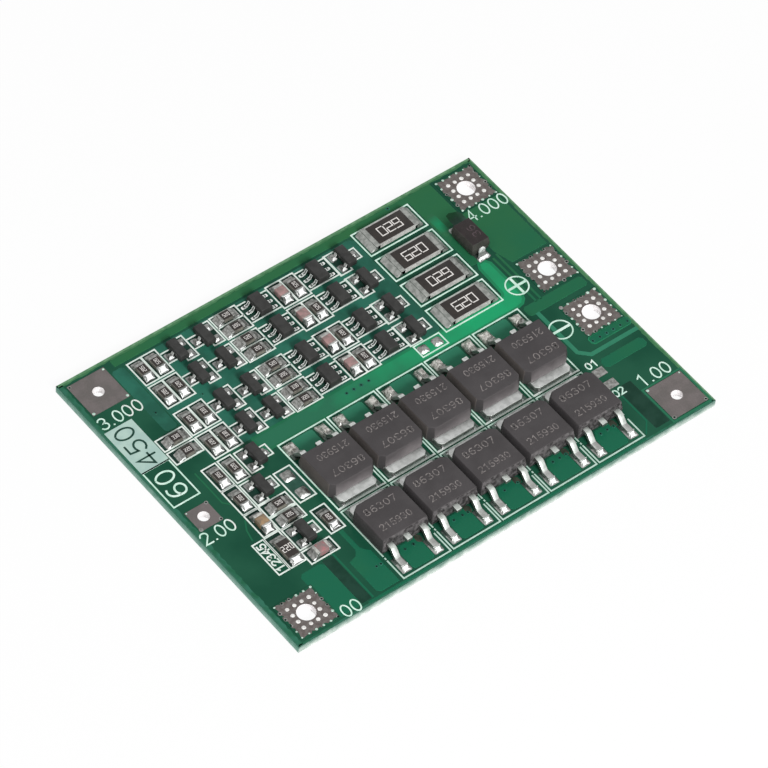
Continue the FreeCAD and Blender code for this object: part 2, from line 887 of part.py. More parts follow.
room = "Sizes.solder_room"
film = "Sizes.land_thickness"
lead_land = box(
    "lead_land",
    f"Sizes.lead_width + 2 * {room}",
    f"Sizes.lead_reach - Sizes.lead_neck - Sizes.lead_slope + 2 * {room}",
    film,
    y="(Sizes.mosfet_depth + Sizes.lead_reach + Sizes.lead_neck + Sizes.lead_slope) / 2",
)
tab_land = box(
    "tab_land",
    f"Sizes.tab_width + 2 * {room}",
    f"Sizes.tab_reach + Sizes.mosfet_depth - Sizes.lead_hidden + {room}",
    film,
    y=f"-(Sizes.tab_reach + Sizes.lead_hidden + {room}) / 2",
)
balance_land = box(
    "balance_land",
    f"Sizes.balance_wrap + 2 * {room}",
    "Sizes.balance_width",
    film,
    x="(Sizes.balance_length - Sizes.balance_wrap) / 2",
)
diode_land = box(
    "diode_land",
    f"Sizes.diode_lead_width + {room}",
    f"Sizes.diode_lead_under + Sizes.diode_lead_out + {room}",
    film,
    y=f"(Sizes.diode_length + Sizes.diode_lead_out - Sizes.diode_lead_under + {room}) / 2",
)
bare_land = box("bare_land", "Sizes.bare_land", "Sizes.bare_land", film)
test_land = box("test_land", "Sizes.test_width", "Sizes.test_height", film)
doc.recompute()

# Circuit board: a flat plate, cut with the seats of its terminals
half_length, half_width = "Layout.board_length / 2", "Layout.board_width / 2"
board_blank = outline_pad(
    "board_blank",
    "XY_Plane",
    [
        (f"-{half_length}", f"-{half_width}"),
        (half_length, f"-{half_width}"),
        (half_length, half_width),
        (f"-{half_length}", half_width),
    ],
    "Sizes.board_thickness",
    way="Up",
)
terminal_seats = group(
    "terminal_seats",
    *[(terminal_kinds[kind][1], [spot]) for kind, spot in terminal_places.values()],
)
circuit_board = cut("circuit_board", board_blank, terminal_seats)
circuit_board.Label = "circuit_board"
nodes.append(circuit_board)
doc.recompute()

# Sub-parts in their places
for label, (kind, spot) in terminal_places.items():
    node(label, terminal_kinds[kind][0], spot)
for number, spot in enumerate(mosfets, 1):
    node(f"mosfet_leadframe_{number}", mosfet_leadframe, spot)
    node(f"mosfet_body_{number}", mosfet_body, spot)
for number, spot in enumerate(balances, 1):
    node(f"balance_resistor_{number}", balance_plate, spot)
group_node("balance_resistor_coats", (balance_coat, balances))
group_node("balance_resistor_caps", *[(cap, balances) for cap in balance_caps])
node("diode_body", diode_body, diode)
turned = at(0, 0, 0, HALF)
group_node("diode_leads", (diode_lead, [diode, diode.multiply(turned)]))
for number, spot in enumerate(monitors, 1):
    node(f"monitor_chip_{number}", monitor_body, spot)
for row in range(CELL_ROWS):
    pair = monitors[2 * row:2 * row + 2]
    group_node(f"monitor_leads_row_{row + 1}", *[(lead, pair) for lead in monitor_leads])
group_node("transistor_bodies", (transistor_body, transistors))
group_node("transistor_leads", *[(lead, transistors) for lead in transistor_leads])
group_node("chip_resistor_bodies", (chip_ceramic, chips), (long_ceramic, [long_chip]))
group_node("chip_resistor_coats", (chip_coat, chips), (long_coat, [long_chip]))
group_node(
    "chip_resistor_ends",
    *[(end, chips) for end in chip_ends],
    *[(end, [long_chip]) for end in long_ends],
)
group_node("capacitor_bodies", (capacitor_body, capacitors))
group_node("capacitor_ends", *[(end, capacitors) for end in capacitor_ends])
down = at(0, 0, -value("Sizes.land_thickness"))
lead_offset = value("Sizes.lead_pitch")
group_node(
    "power_lands",
    (tab_land, [spot.multiply(down) for spot in mosfets]),
    *[
        (lead_land, [spot.multiply(down).multiply(at(side * lead_offset, 0, 0)) for spot in mosfets])
        for side in (-1, 1)
    ],
    (balance_land, [spot.multiply(down) for spot in balances]),
    (balance_land, [spot.multiply(down).multiply(turned) for spot in balances]),
    (diode_land, [diode.multiply(down), diode.multiply(down).multiply(turned)]),
)
group_node("bare_lands", (bare_land, bare_places), (test_land, test_places))
doc.recompute()

# Nothing is written unless every object was made and every sub-part is sound.
for item in doc.Objects:
    if "Invalid" in item.State or "Error" in item.State:
        raise RuntimeError(f"{item.Label} failed: {item.State}")
for piece in nodes:
    if piece.Shape.isNull() or not piece.Shape.isValid():
        raise RuntimeError(f"{piece.Label} has no valid shape")

os.makedirs("parts", exist_ok=True)
for piece in nodes:
    piece.Shape.exportStep(f"parts/{piece.Label}.step")
print(
    f"{len(nodes)} sub-parts on a board of {board_length:.2f} by {board_width:.2f} mm:"
    f" {len(mosfets)} power transistors, {len(monitors)} monitor chips,"
    f" {len(transistors)} transistors, {len(chips) + 1} chip resistors,"
    f" {len(capacitors)} capacitors"
)
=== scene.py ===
# %% [markdown]
# # A battery management board, dressed piece by piece
#
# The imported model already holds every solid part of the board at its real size. This lesson adds
# what a camera sees and a solid model leaves out: the glossy green mask with copper under it, the
# printed lines, the solder at every joint, the figures on the chips and the ragged edge of the
# laminate. Lengths below are in millimetres, and become metres when a mesh is made. Only the
# table, the camera's range and the lamps are measured in metres.

# %% Load the solid parts
import math
import random

import bmesh
import bpy
from mathutils import Matrix, Vector, noise


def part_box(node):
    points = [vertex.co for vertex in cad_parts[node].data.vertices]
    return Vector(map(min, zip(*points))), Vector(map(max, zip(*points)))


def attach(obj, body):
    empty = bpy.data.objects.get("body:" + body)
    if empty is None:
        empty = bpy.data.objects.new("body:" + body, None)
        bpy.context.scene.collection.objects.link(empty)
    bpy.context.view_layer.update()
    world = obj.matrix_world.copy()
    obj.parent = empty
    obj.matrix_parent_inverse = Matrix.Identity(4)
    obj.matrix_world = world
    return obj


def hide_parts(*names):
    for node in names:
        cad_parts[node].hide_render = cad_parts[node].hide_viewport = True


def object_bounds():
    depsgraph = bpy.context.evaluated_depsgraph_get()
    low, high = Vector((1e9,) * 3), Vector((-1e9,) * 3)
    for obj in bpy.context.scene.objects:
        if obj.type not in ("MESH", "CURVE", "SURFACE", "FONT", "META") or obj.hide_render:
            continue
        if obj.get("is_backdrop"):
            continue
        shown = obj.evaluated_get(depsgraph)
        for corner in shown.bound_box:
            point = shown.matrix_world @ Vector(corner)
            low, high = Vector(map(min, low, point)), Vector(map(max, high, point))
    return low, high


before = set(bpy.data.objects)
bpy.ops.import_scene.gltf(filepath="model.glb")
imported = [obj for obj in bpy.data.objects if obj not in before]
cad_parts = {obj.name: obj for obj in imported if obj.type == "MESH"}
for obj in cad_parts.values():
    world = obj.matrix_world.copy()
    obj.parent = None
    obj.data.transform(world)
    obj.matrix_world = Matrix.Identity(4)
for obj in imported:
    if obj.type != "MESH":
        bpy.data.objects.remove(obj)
cad_low, cad_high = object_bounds()
MM = 0.001


def add_object(name, data):
    item = bpy.data.objects.new(name, data)
    bpy.context.scene.collection.objects.link(item)
    return item


print(f"{len(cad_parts)} solid nodes, {(cad_high - cad_low)[0] / MM:.1f} mm long")

# %% [markdown]
# ## Camera
#
# The camera's place was solved once from the corners of the board and of its standard packages.
# Three angles and the eye's position are enough to say how it stands, so no target object or
# constraint is needed, and the picture stays a square.

# %% Place the camera
AZIMUTH, ELEVATION, ROLL = (math.radians(angle) for angle in (42.5628, 50.6507, 5.6188))
EYE = Vector((-262.6046, -285.2896, 475.5187))
LENS, SENSOR = 253.30, 36.0
NEAREST, FARTHEST = 0.01, 20


def make_camera():
    forward = Vector((
        math.sin(AZIMUTH) * math.cos(ELEVATION),
        math.cos(AZIMUTH) * math.cos(ELEVATION),
        -math.sin(ELEVATION),
    ))
    level = Vector((math.cos(AZIMUTH), -math.sin(AZIMUTH), 0))
    right = Matrix.Rotation(-ROLL, 3, forward) @ level
    up = right.cross(forward)
    turn = Matrix((right, up, -forward)).transposed().to_4x4()
    camera = add_object("camera", bpy.data.cameras.new("camera"))
    camera.matrix_world = Matrix.Translation(EYE * MM) @ turn
    camera.data.lens, camera.data.sensor_width = LENS, SENSOR
    camera.data.clip_start, camera.data.clip_end = NEAREST, FARTHEST
    bpy.context.scene.camera = camera
    return camera


camera = make_camera()
bpy.context.scene.view_settings.view_transform = "Standard"
print("the camera stands", round(camera.location.length, 3), "m from the board's middle")

# %% [markdown]
# ## Floor, background and lamps
#
# The board lies on a white table. The world is white wherever the camera or a reflection sees it,
# and dimmer as a light, so the two soft lamps can shape the parts. The shadow beside the diode
# says where the key lamp stands: in front of the board's near edge and fairly low, which leaves
# the left walls of the power transistors in shade.

# %% Floor and world
FLOOR_GAP = 0.01
FLOOR_HALF = 2.0
FLOOR_GLOW = 0.93
AMBIENT = 0.34
WHITE, PAPER = (1, 1, 1, 1), (0.9, 0.9, 0.9, 1)


def add_node(tree, kind, inputs=(), **settings):
    """The outputs of a new node; each input is linked to a socket or set to a value."""
    made = tree.nodes.new(kind)
    for label, value in settings.items():
        setattr(made, label, value)
    for label, source in dict(inputs).items():
        if isinstance(source, bpy.types.NodeSocket):
            tree.links.new(source, made.inputs[label])
        else:
            made.inputs[label].default_value = source
    return made.outputs


def maths(tree, operation, *sources, kind="ShaderNodeMath"):
    return add_node(tree, kind, enumerate(sources), operation=operation)


def empty_tree(owner):
    owner.use_nodes = True
    owner.node_tree.nodes.clear()
    return owner.node_tree


def seen_rays(tree):
    """A socket that is 1 for the rays of the camera, of reflections and of clear materials."""
    path = add_node(tree, "ShaderNodeLightPath")
    total = path["Is Camera Ray"]
    for ray in ("Is Glossy Ray", "Is Transmission Ray"):
        total = maths(tree, "MAXIMUM", total, path[ray])[0]
    return total


def make_world():
    world = bpy.data.worlds.new("white_room")
    bpy.context.scene.world = world
    tree = empty_tree(world)
    light = add_node(tree, "ShaderNodeBackground", {"Strength": AMBIENT, "Color": WHITE})
    seen = add_node(tree, "ShaderNodeBackground", {"Color": WHITE})
    both = add_node(tree, "ShaderNodeMixShader", {0: seen_rays(tree), 1: light[0], 2: seen[0]})
    add_node(tree, "ShaderNodeOutputWorld", {0: both[0]})


def make_floor():
    low, half = cad_low.z - FLOOR_GAP * MM, FLOOR_HALF
    corners = [(-half, -half, low), (half, -half, low), (half, half, low), (-half, half, low)]
    mesh = bpy.data.meshes.new("table_top")
    mesh.from_pydata(corners, [], [(0, 1, 2, 3)])
    material = bpy.data.materials.new("white_table")
    tree = empty_tree(material)
    paper = add_node(tree, "ShaderNodeBsdfDiffuse", {"Color": PAPER})
    glow = add_node(tree, "ShaderNodeEmission")
    share = maths(tree, "MULTIPLY", seen_rays(tree), FLOOR_GLOW)
    both = add_node(tree, "ShaderNodeMixShader", {0: share[0], 1: paper[0], 2: glow[0]})
    add_node(tree, "ShaderNodeOutputMaterial", {0: both[0]})
    mesh.materials.append(material)
    floor = add_object("table_top", mesh)
    floor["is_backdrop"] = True


make_world()
make_floor()
print("white table and world made")

# %% Lamps
# Each lamp: compass turn from +X, height angle, distance, size, and its share of the light
LAMPS = {
    "key_lamp": (-100, 36, 0.62, 0.22, 0.58),
    "top_lamp": (-165, 66, 0.7, 0.4, 0.12),
}


def make_lamp(name, turn, height, distance, size, share):
    """A square lamp that lights a flat white card to the given share of white."""
    turn, height = math.radians(turn), math.radians(height)
    level = math.cos(height)
    towards = Vector((math.cos(turn) * level, math.sin(turn) * level, math.sin(height)))
    lamp = add_object(name, bpy.data.lights.new(name, "AREA"))
    lamp.data.shape, lamp.data.size = "SQUARE", size
    lamp.data.energy = share * math.pi ** 2 * distance ** 2 / math.sin(height)
    lamp.location = towards * distance
    lamp.rotation_euler = towards.to_track_quat("Z", "Y").to_euler()
    print(f"{name}: {lamp.data.energy:.2f} W")


for name, values in LAMPS.items():
    make_lamp(name, *values)

# %% [markdown]
# ## Reading the solids
#
# Many nodes hold a group of like solids, such as all the end caps of the chip resistors. Printed
# lines, solder and figures have to follow each of them, so the first helper cuts a node's mesh
# into its separate solids and gives the box of each.

# %% Boxes of the separate solids
SAME_PLACE = 1e-7


class Box:
    """The box of one solid in millimetres; its plan is x and y of the low and the high corner."""

    def __init__(self, corners):
        self.low = Vector([min(corner[axis] for corner in corners) for axis in range(3)])
        self.high = Vector([max(corner[axis] for corner in corners) for axis in range(3)])
        self.middle = (self.low + self.high) / 2
        self.size = self.high - self.low
        self.plan = (*self.low.xy, *self.high.xy)


def merged_copy(source):
    """A node's mesh as an editable copy whose loose triangles are joined again."""
    copy = bmesh.new()
    copy.from_mesh(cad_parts[source].data)
    bmesh.ops.remove_doubles(copy, verts=copy.verts, dist=SAME_PLACE)
    return copy


def solids(source):
    """The boxes of a node's separate solids."""
    copy = merged_copy(source)
    found, seen = [], set()
    for start in copy.verts:
        if start in seen:
            continue
        seen.add(start)
        todo, corners = [start], []
        while todo:
            corner = todo.pop()
            corners.append(corner.co / MM)
            others = {edge.other_vert(corner) for edge in corner.link_edges} - seen
            seen |= others
            todo += others
        found.append(Box(corners))
    copy.free()
    return found


def numbered(name, count):
    """The boxes of numbered nodes that hold one solid each."""
    return [solids(f"{name}_{number}")[0] for number in range(1, count + 1)]


def nearest(box, others):
    return min(others, key=lambda other: (other.middle - box.middle).length)


board = solids("circuit_board")[0]
TOP = board.high.z
print(f"board {board.size.x:.2f} x {board.size.y:.2f} x {board.size.z:.2f} mm")

# %% [markdown]
# ## Collecting shapes
#
# A printed line, a solder joint and a pad are all simple skins, and there are hundreds of them.
# A `Form` collects their corners and faces, so that each kind becomes one mesh: `loft` closes a
# skin through rings of corners, and most other shapes are made from it.

# %% The Form helper
# A cut of a side divided by this is just under half of it, so two cuts never meet
TWO_CUTS = 2.01


class Form:
    """Corners in millimetres and faces that will become one mesh."""

    def __init__(self):
        self.corners, self.faces, self.finishes = [], [], []

    def add(self, corners, faces, finish=0):
        start = len(self.corners)
        self.corners += [tuple(corner) for corner in corners]
        self.faces += [tuple(start + index for index in face) for face in faces]
        self.finishes += [finish] * len(faces)

    def loft(self, rings, finish=0):
        """A closed skin through rings listed anticlockwise from above, the lowest first."""
        count = len(rings[0])
        faces = [tuple(reversed(range(count)))]
        for level in range(len(rings) - 1):
            low, high = level * count, (level + 1) * count
            for index in range(count):
                after = (index + 1) % count
                faces.append((low + index, low + after, high + after, high + index))
        last = (len(rings) - 1) * count
        faces.append(tuple(range(last, last + count)))
        self.add([corner for ring in rings for corner in ring], faces, finish)

    def mesh(self, name):
        mesh = bpy.data.meshes.new(name)
        corners = [tuple(c * MM for c in corner) for corner in self.corners]
        mesh.from_pydata(corners, [], self.faces)
        return mesh


def rectangle(x0, y0, x1, y1):
    return [(x0, y0), (x1, y0), (x1, y1), (x0, y1)]


def eased(x0, y0, x1, y1, cut):
    """A rectangle whose four corners are cut off."""
    cut = min(cut, (x1 - x0) / TWO_CUTS, (y1 - y0) / TWO_CUTS)
    return [
        (x0 + cut, y0), (x1 - cut, y0), (x1, y0 + cut), (x1, y1 - cut),
        (x1 - cut, y1), (x0 + cut, y1), (x0, y1 - cut), (x0, y0 + cut),
    ]


def disc(x, y, radius, sides):
    turns = [2 * math.pi * index / sides for index in range(sides)]
    return [(x + radius * math.cos(turn), y + radius * math.sin(turn)) for turn in turns]


looks = {}


def dress(mesh, names):
    """Adds the finishes with these names, which are parted by spaces."""
    for name in names.split():
        mesh.materials.append(looks[name])


def keep(name, mesh, smooth=None):
    """Shows a mesh as a piece that rides with the board."""
    if smooth is not None:
        mesh.shade_smooth()
        mesh.set_sharp_from_angle(angle=math.radians(smooth))
    mesh.validate()
    item = add_object(name, mesh)
    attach(item, "root")
    print(f"{name}: {len(mesh.polygons)} faces")
    return item


def piece(name, form, finishes, smooth=None):
    """A piece from a form, whose faces say which of the finishes they have."""
    mesh = form.mesh(name)
    dress(mesh, finishes)
    mesh.polygons.foreach_set("material_index", form.finishes)
    return keep(name, mesh, smooth)


# %% [markdown]
# ## Shader groups
#
# Two effects return in nearly every finish: a colour that wanders between two tones, or leans from
# one to the other along the part or towards a centre, and a fine grain in the surface. Each is a
# shader group with named inputs, so a material only says how large and how strong the effect is on
# its own piece.

# %% Two shared shader groups
FLOAT, VECTOR, COLOUR = "NodeSocketFloat", "NodeSocketVector", "NodeSocketColor"
TONE_DETAIL, GRAIN_DETAIL = 4.0, 3.0
GRAIN_LOW, GRAIN_HIGH = 0.3, 0.7


def new_group(name, kind, inputs, outputs):
    """A node group with named sockets; returns the tree and the sockets of its inputs."""
    tree = bpy.data.node_groups.new(name, kind)
    for way, sockets in (("INPUT", inputs), ("OUTPUT", outputs)):
        for label, socket_type in sockets.items():
            tree.interface.new_socket(label, in_out=way, socket_type=socket_type)
    return tree, add_node(tree, "NodeGroupInput")


def object_noise(tree, scale, detail):
    """A noise texture on the piece's own coordinates, with its scale from a socket."""
    place = add_node(tree, "ShaderNodeTexCoord")["Object"]
    texture = {"Detail": detail, "Vector": place, "Scale": scale}
    return add_node(tree, "ShaderNodeTexNoise", texture)[0]


def make_wandering_tone():
    tree, given = new_group(
        "wandering_tone", "ShaderNodeTree",
        {"First": COLOUR, "Second": COLOUR, "Scale": FLOAT, "Start": FLOAT, "End": FLOAT,
         "Lean": VECTOR, "Centre": VECTOR, "Fall": VECTOR},
        {"Colour": COLOUR},
    )

    def along(operation, *sources):
        return maths(tree, operation, *sources, kind="ShaderNodeVectorMath")

    place = add_node(tree, "ShaderNodeTexCoord")["Object"]
    lean = along("DOT_PRODUCT", place, given["Lean"])["Value"]
    offset = along("SUBTRACT", place, given["Centre"])["Vector"]
    away = along("LENGTH", along("MULTIPLY", offset, given["Fall"])["Vector"])["Value"]
    total = maths(tree, "ADD", object_noise(tree, given["Scale"], TONE_DETAIL), lean)[0]
    total = maths(tree, "SUBTRACT", total, away)[0]
    share = add_node(tree, "ShaderNodeMapRange",
                     {"Value": total, "From Min": given["Start"], "From Max": given["End"]})[0]
    tones = {"Factor": share, "A": given["First"], "B": given["Second"]}
    mix = add_node(tree, "ShaderNodeMix", tones, data_type="RGBA")
    add_node(tree, "NodeGroupOutput", {"Colour": mix["Result"]})
    return tree


def make_fine_grain():
    tree, given = new_group(
        "fine_grain", "ShaderNodeTree",
        dict.fromkeys(("Scale", "Strength", "Distance", "Smoothest", "Roughest"), FLOAT),
        {"Roughness": FLOAT, "Normal": VECTOR},
    )
    value = object_noise(tree, given["Scale"], GRAIN_DETAIL)
    bump = add_node(tree, "ShaderNodeBump",
                    {"Height": value, "Strength": given["Strength"], "Distance": given["Distance"]})
    rough = add_node(tree, "ShaderNodeMapRange",
                     {"Value": value, "From Min": GRAIN_LOW, "From Max": GRAIN_HIGH,
                      "To Min": given["Smoothest"], "To Max": given["Roughest"]})
    add_node(tree, "NodeGroupOutput", {"Roughness": rough[0], "Normal": bump["Normal"]})
    return tree


WANDERING_TONE, FINE_GRAIN = make_wandering_tone(), make_fine_grain()
print("shader groups:", WANDERING_TONE.name, FINE_GRAIN.name)

# %% [markdown]
# ## Finishes
#
# Colours are written as they look on the screen, from 0 to 255, and turned into the linear
# values that a shader works with. One helper makes every finish from a pair of tones, the size of
# their patches, a range of roughness and a grain, because on this board the finishes differ in
# those values and not in their kind.

# %% The helper for finishes
EVEN = (0, 0, 0)


def linear(*screen):
    """A screen colour as the linear colour of a shader."""
    parts = [value / 255 for value in screen]
    return (*(c / 12.92 if c <= 0.04045 else ((c + 0.055) / 1.055) ** 2.4 for c in parts), 1)


def finish(name, surface, patch, first, second, spread=(0.4, 0.6), lean=EVEN, centre=EVEN,
           fall=EVEN):
    """A material of two wandering tones; patch and grain are sizes in millimetres.

    Lean is the change of the tone along x, y and z, in shares per millimetre; fall is its loss
    with the distance from the centre.
    """
    smoothest, roughest, grain, bump, metallic, specular = surface
    material = bpy.data.materials.new(name)
    material.use_nodes = True
    tree = material.node_tree
    tone = add_node(tree, "ShaderNodeGroup", node_tree=WANDERING_TONE, inputs={
        "First": linear(*first), "Second": linear(*second), "Scale": 1 / (patch * MM),
        "Start": spread[0], "End": spread[1], "Lean": [part / MM for part in lean],
        "Centre": [part * MM for part in centre], "Fall": [part / MM for part in fall],
    })
    skin = add_node(tree, "ShaderNodeGroup", node_tree=FINE_GRAIN, inputs={
        "Scale": 1 / (grain * MM), "Strength": bump, "Distance": grain * MM / 4,
        "Smoothest": smoothest, "Roughest": roughest,
    })
    shader = tree.nodes["Principled BSDF"].inputs
    tree.links.new(tone["Colour"], shader["Base Color"])
    tree.links.new(skin["Roughness"], shader["Roughness"])
    tree.links.new(skin["Normal"], shader["Normal"])
    shader["Metallic"].default_value = metallic
    shader["Specular IOR Level"].default_value = specular
    looks[name] = material


# %% The finishes of the board's parts
# Each surface: lowest and highest roughness, grain, bump, metallic and specular. Each finish on
# it: patch, both tones, and where they differ from the helper's, spread, lean, centre and fall.
FINISHES = {
    (0.16, 0.24, 0.5, 0.05, 0, 0.06): {
        "mask_over_laminate": (9, (24, 75, 56), (34, 86, 65)),
        "mask_over_copper": (7, (28, 100, 74), (48, 106, 66), (0.2, 1.1), (0, 0.02, 0)),
        "mask_over_fine_copper": (4, (38, 90, 74), (46, 108, 90)),
        # Painted sheen: the next three grow brighter towards a centre, as a reflection on the
        # glossy mask would
        "mask_over_thick_copper": (5, (44, 110, 82), (34, 160, 106), (-0.3, 0.4), EVEN,
                                   (17, 2.2, 1), (0.035, 0.05, 0)),
        "mask_beside_thick_copper": (5, (38, 108, 76), (34, 134, 90), (-0.3, 0.4), EVEN,
                                     (17, 2.2, 1), (0.035, 0.05, 0)),
        "mask_over_a_wide_trace": (4, (50, 124, 96), (57, 130, 102)),
        "mask_over_a_copper_spot": (5, (46, 105, 72), (32, 138, 94), (-0.3, 0.4), EVEN,
                                    (20.7, 16.4, 1), (0.5, 0.45, 0)),
        "mask_at_the_far_edges": (0.7, (110, 152, 116), (84, 130, 94)),
        "mask_beside_the_far_edges": (1.2, (74, 126, 86), (62, 114, 76)),
        "mask_at_the_near_edges": (0.7, (60, 108, 90), (50, 100, 82)),
        "mask_beside_the_near_edges": (1.2, (52, 110, 90), (40, 98, 72)),
        "mask_in_shade": (1.5, (24, 48, 40), (32, 62, 52)),
        "mask_over_a_bare_strip": (1.5, (26, 58, 46), (34, 66, 54)),
        "mask_of_the_empty_place": (1, (44, 78, 66), (52, 88, 76)),
        "mask_behind_the_diode": (0.8, (62, 86, 78), (26, 68, 42), (8.0, 8.9), (0, 0.5, 0)),
    },
    (0.4, 0.6, 0.3, 0.15, 0, 0.15): {"thin_mask_on_land": (1, (186, 202, 194), (164, 180, 172))},
    (0.5, 0.8, 0.25, 0.4, 0, 0.2): {
        "routed_glass_laminate": (1.2, (98, 128, 116), (214, 220, 214), (-0.1, 0.7), (0, 0, -0.7)),
        "routed_laminate_in_shade": (1.2, (92, 146, 126), (168, 198, 188), (-0.1, 0.7),
                                     (0, 0, -0.7)),
    },
    (0.45, 0.6, 0.2, 0.2, 0, 0.2): {
        "white_ink": (1.2, (222, 246, 234), (196, 232, 214)),
        "thick_white_ink": (1.2, (233, 240, 234), (215, 228, 220)),
        "thin_white_ink": (1.2, (190, 216, 204), (176, 204, 190)),
        "white_ink_field": (1.5, (180, 206, 196), (168, 196, 188)),
    },
    (0.3, 0.5, 0.3, 0.15, 0, 0.15): {"mask_seen_through_ink": (1, (24, 60, 50), (30, 68, 56))},
    (0.45, 0.7, 0.2, 0.25, 0.35, 0.5): {
        "dull_plating": (0.5, (108, 102, 99), (92, 84, 81), (0.42, 0.6)),
    },
    (0.5, 0.7, 0.2, 0.2, 0.35, 0.5): {"even_plating": (1.6, (110, 103, 102), (100, 95, 93))},
    (0.3, 0.45, 0.2, 0.1, 0.3, 0.5): {"bright_barrel": (0.8, (250, 248, 248), (236, 232, 232))},
    (0.25, 0.4, 0.2, 0.2, 0.7, 0.5): {"land_in_shade": (0.6, (104, 116, 110), (74, 90, 82))},
    (0.55, 0.72, 0.12, 0.35, 0, 0.25): {
        "moulded_case": (2.5, (69, 66, 67), (63, 60, 61)),
        "moulded_case_in_light": (2.5, (134, 128, 129), (80, 76, 77), (0.9, 1.7), (0, 0, 0.4)),
        "moulded_case_in_shade": (2.5, (90, 85, 82), (83, 78, 76)),
    },
    (0.5, 0.7, 0.12, 0.35, 0, 0.25): {
        "moulded_case_with_flux": (0.45, (100, 96, 97), (46, 43, 44), (0.36, 0.62)),
    },
    (0.4, 0.55, 0.1, 0.3, 0, 0.25): {"small_moulded_case": (1, (54, 54, 53), (45, 45, 44))},
    (0.5, 0.65, 0.15, 0.4, 0, 0.25): {
        "diode_case": (1, (43, 37, 37), (36, 31, 31)),
        "diode_case_sides": (1, (64, 63, 59), (53, 53, 49)),
    },
    (0.6, 0.8, 0.1, 0.15, 0, 0.2): {
        "laser_mark": (0.22, (140, 134, 132), (84, 80, 80)),
        "faint_mark": (0.3, (88, 76, 80), (66, 58, 60)),
    },
    (0.4, 0.6, 0.15, 0.3, 0, 0.2): {"dark_flux": (0.5, (66, 72, 60), (48, 52, 44), (0.3, 0.6))},
    (0.35, 0.5, 0.15, 0.2, 0.85, 0.5): {
        "tab_of_a_power_case": (0.7, (200, 202, 200), (178, 180, 178)),
    },
    (0.35, 0.5, 0.12, 0.2, 0.9, 0.5): {
        "tinned_copper_in_light": (0.5, (198, 203, 198), (176, 181, 176)),
    },
    (0.3, 0.45, 0.12, 0.15, 0.9, 0.5): {
        "tinned_copper": (0.6, (168, 170, 167), (150, 151, 148)),
        "pin_tin": (0.4, (104, 110, 106), (84, 90, 86)),
    },
    (0.3, 0.45, 0.12, 0.15, 0.35, 0.5): {
        "bright_tin": (0.4, (244, 247, 244), (214, 219, 215)),
        "folded_strap": (0.3, (134, 137, 134), (254, 254, 254), (1.9, 2.5), (0, 0, 0.9)),
    },
    (0.25, 0.4, 0.3, 0.2, 0.3, 0.5): {
        "solder_toward_the_key_lamp": (0.3, (254, 254, 253), (206, 210, 208), (0.52, 0.62)),
    },
    (0.2, 0.35, 0.35, 0.3, 0.9, 0.5): {"bright_solder": (0.4, (148, 150, 148), (104, 106, 104))},
    (0.35, 0.5, 0.25, 0.25, 0.6, 0.5): {"pale_solder": (0.4, (190, 190, 184), (150, 151, 148))},
    (0.3, 0.45, 0.3, 0.3, 0.85, 0.5): {"dull_solder": (0.35, (158, 159, 156), (118, 118, 115))},
    (0.3, 0.45, 0.25, 0.4, 0.6, 0.5): {
        "lumpy_solder": (0.3, (212, 210, 204), (132, 128, 122), (0.42, 0.66)),
    },
    (0.35, 0.5, 0.25, 0.2, 0.8, 0.5): {"smooth_solder": (0.5, (160, 162, 158), (130, 133, 129))},
    (0.5, 0.7, 0.15, 0.15, 0, 0.3): {
        "chip_ceramic_in_flux": (0.5, (124, 121, 112), (98, 96, 90)),
        "white_ceramic": (0.6, (194, 193, 189), (168, 166, 163)),
    },
    (0.25, 0.4, 0.2, 0.1, 0.35, 0.5): {"tin_in_a_via": (0.4, (244, 243, 240), (212, 210, 206))},
    (0.25, 0.4, 0.2, 0.1, 0.5, 0.5): {
        "tin_in_a_small_via": (0.3, (206, 232, 218), (168, 196, 182)),
    },
    (0.3, 0.45, 0.12, 0.15, 0, 0.25): {"dark_resistor_coat": (0.8, (49, 44, 41), (42, 38, 36))},
    (0.5, 0.7, 0.1, 0.15, 0, 0.2): {"pale_figures": (0.4, (244, 240, 236), (226, 222, 218))},
    (0.35, 0.5, 0.12, 0.2, 0, 0.3): {
        "brown_capacitor_ceramic": (0.5, (165, 132, 130), (138, 118, 115)),
        "tan_capacitor_ceramic": (0.5, (156, 130, 100), (122, 110, 94)),
        "rose_capacitor_ceramic": (0.5, (162, 112, 114), (132, 118, 116)),
    },
    (0.5, 0.7, 0.2, 0.15, 0, 0.1): {"shaded_hole": (0.2, (16, 36, 28), (10, 24, 20))},
}
for surface, rows in FINISHES.items():
    for name, values in rows.items():
        finish(name, surface, *values)
print(len(looks), "finishes")

# %% [markdown]
# ## The solids' own finishes
#
# Solids whose shape is already right keep their mesh and only get a material. The board has two
# kinds of face: mask on its flat sides, and raw glass laminate where it was cut.

# %% Materials on the solid nodes
BARREL_REACH = 1.35 * MM


def paint(source, finishes):
    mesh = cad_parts[source].data
    mesh.materials.clear()
    dress(mesh, finishes)
    return mesh


# The cut faces turn paler towards the bottom, a painted light from the white table; the left faces
# get a copy in shade
CUT_FACES = "routed_glass_laminate routed_laminate_in_shade"
board_mesh = paint("circuit_board", "mask_over_laminate " + CUT_FACES)
for face in board_mesh.polygons:
    if abs(face.normal.z) < 0.5:
        face.material_index = 2 if abs(face.normal.x) > 0.5 else 1
TERMINALS = sorted(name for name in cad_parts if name.endswith("_terminal"))
for name in TERMINALS:
    terminal = paint(name, ("even_plating" if "tap" in name else "dull_plating") + " bright_barrel")
    low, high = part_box(name)
    middle = (Vector(low) + Vector(high)) / 2
    for face in terminal.polygons:
        # Painted light: the barrels of the holes are near white, as if lit
        away = (face.center - middle).xy.length
        face.material_index = 1 if abs(face.normal.z) < 0.5 and away < BARREL_REACH else 0
paint("power_lands", "land_in_shade")
paint("bare_lands", "dull_solder")
paint("chip_resistor_bodies", "chip_ceramic_in_flux")
for number in range(1, 5):
    paint(f"balance_resistor_{number}", "white_ceramic")
print("painted", len(TERMINALS), "terminals and the plain solids")

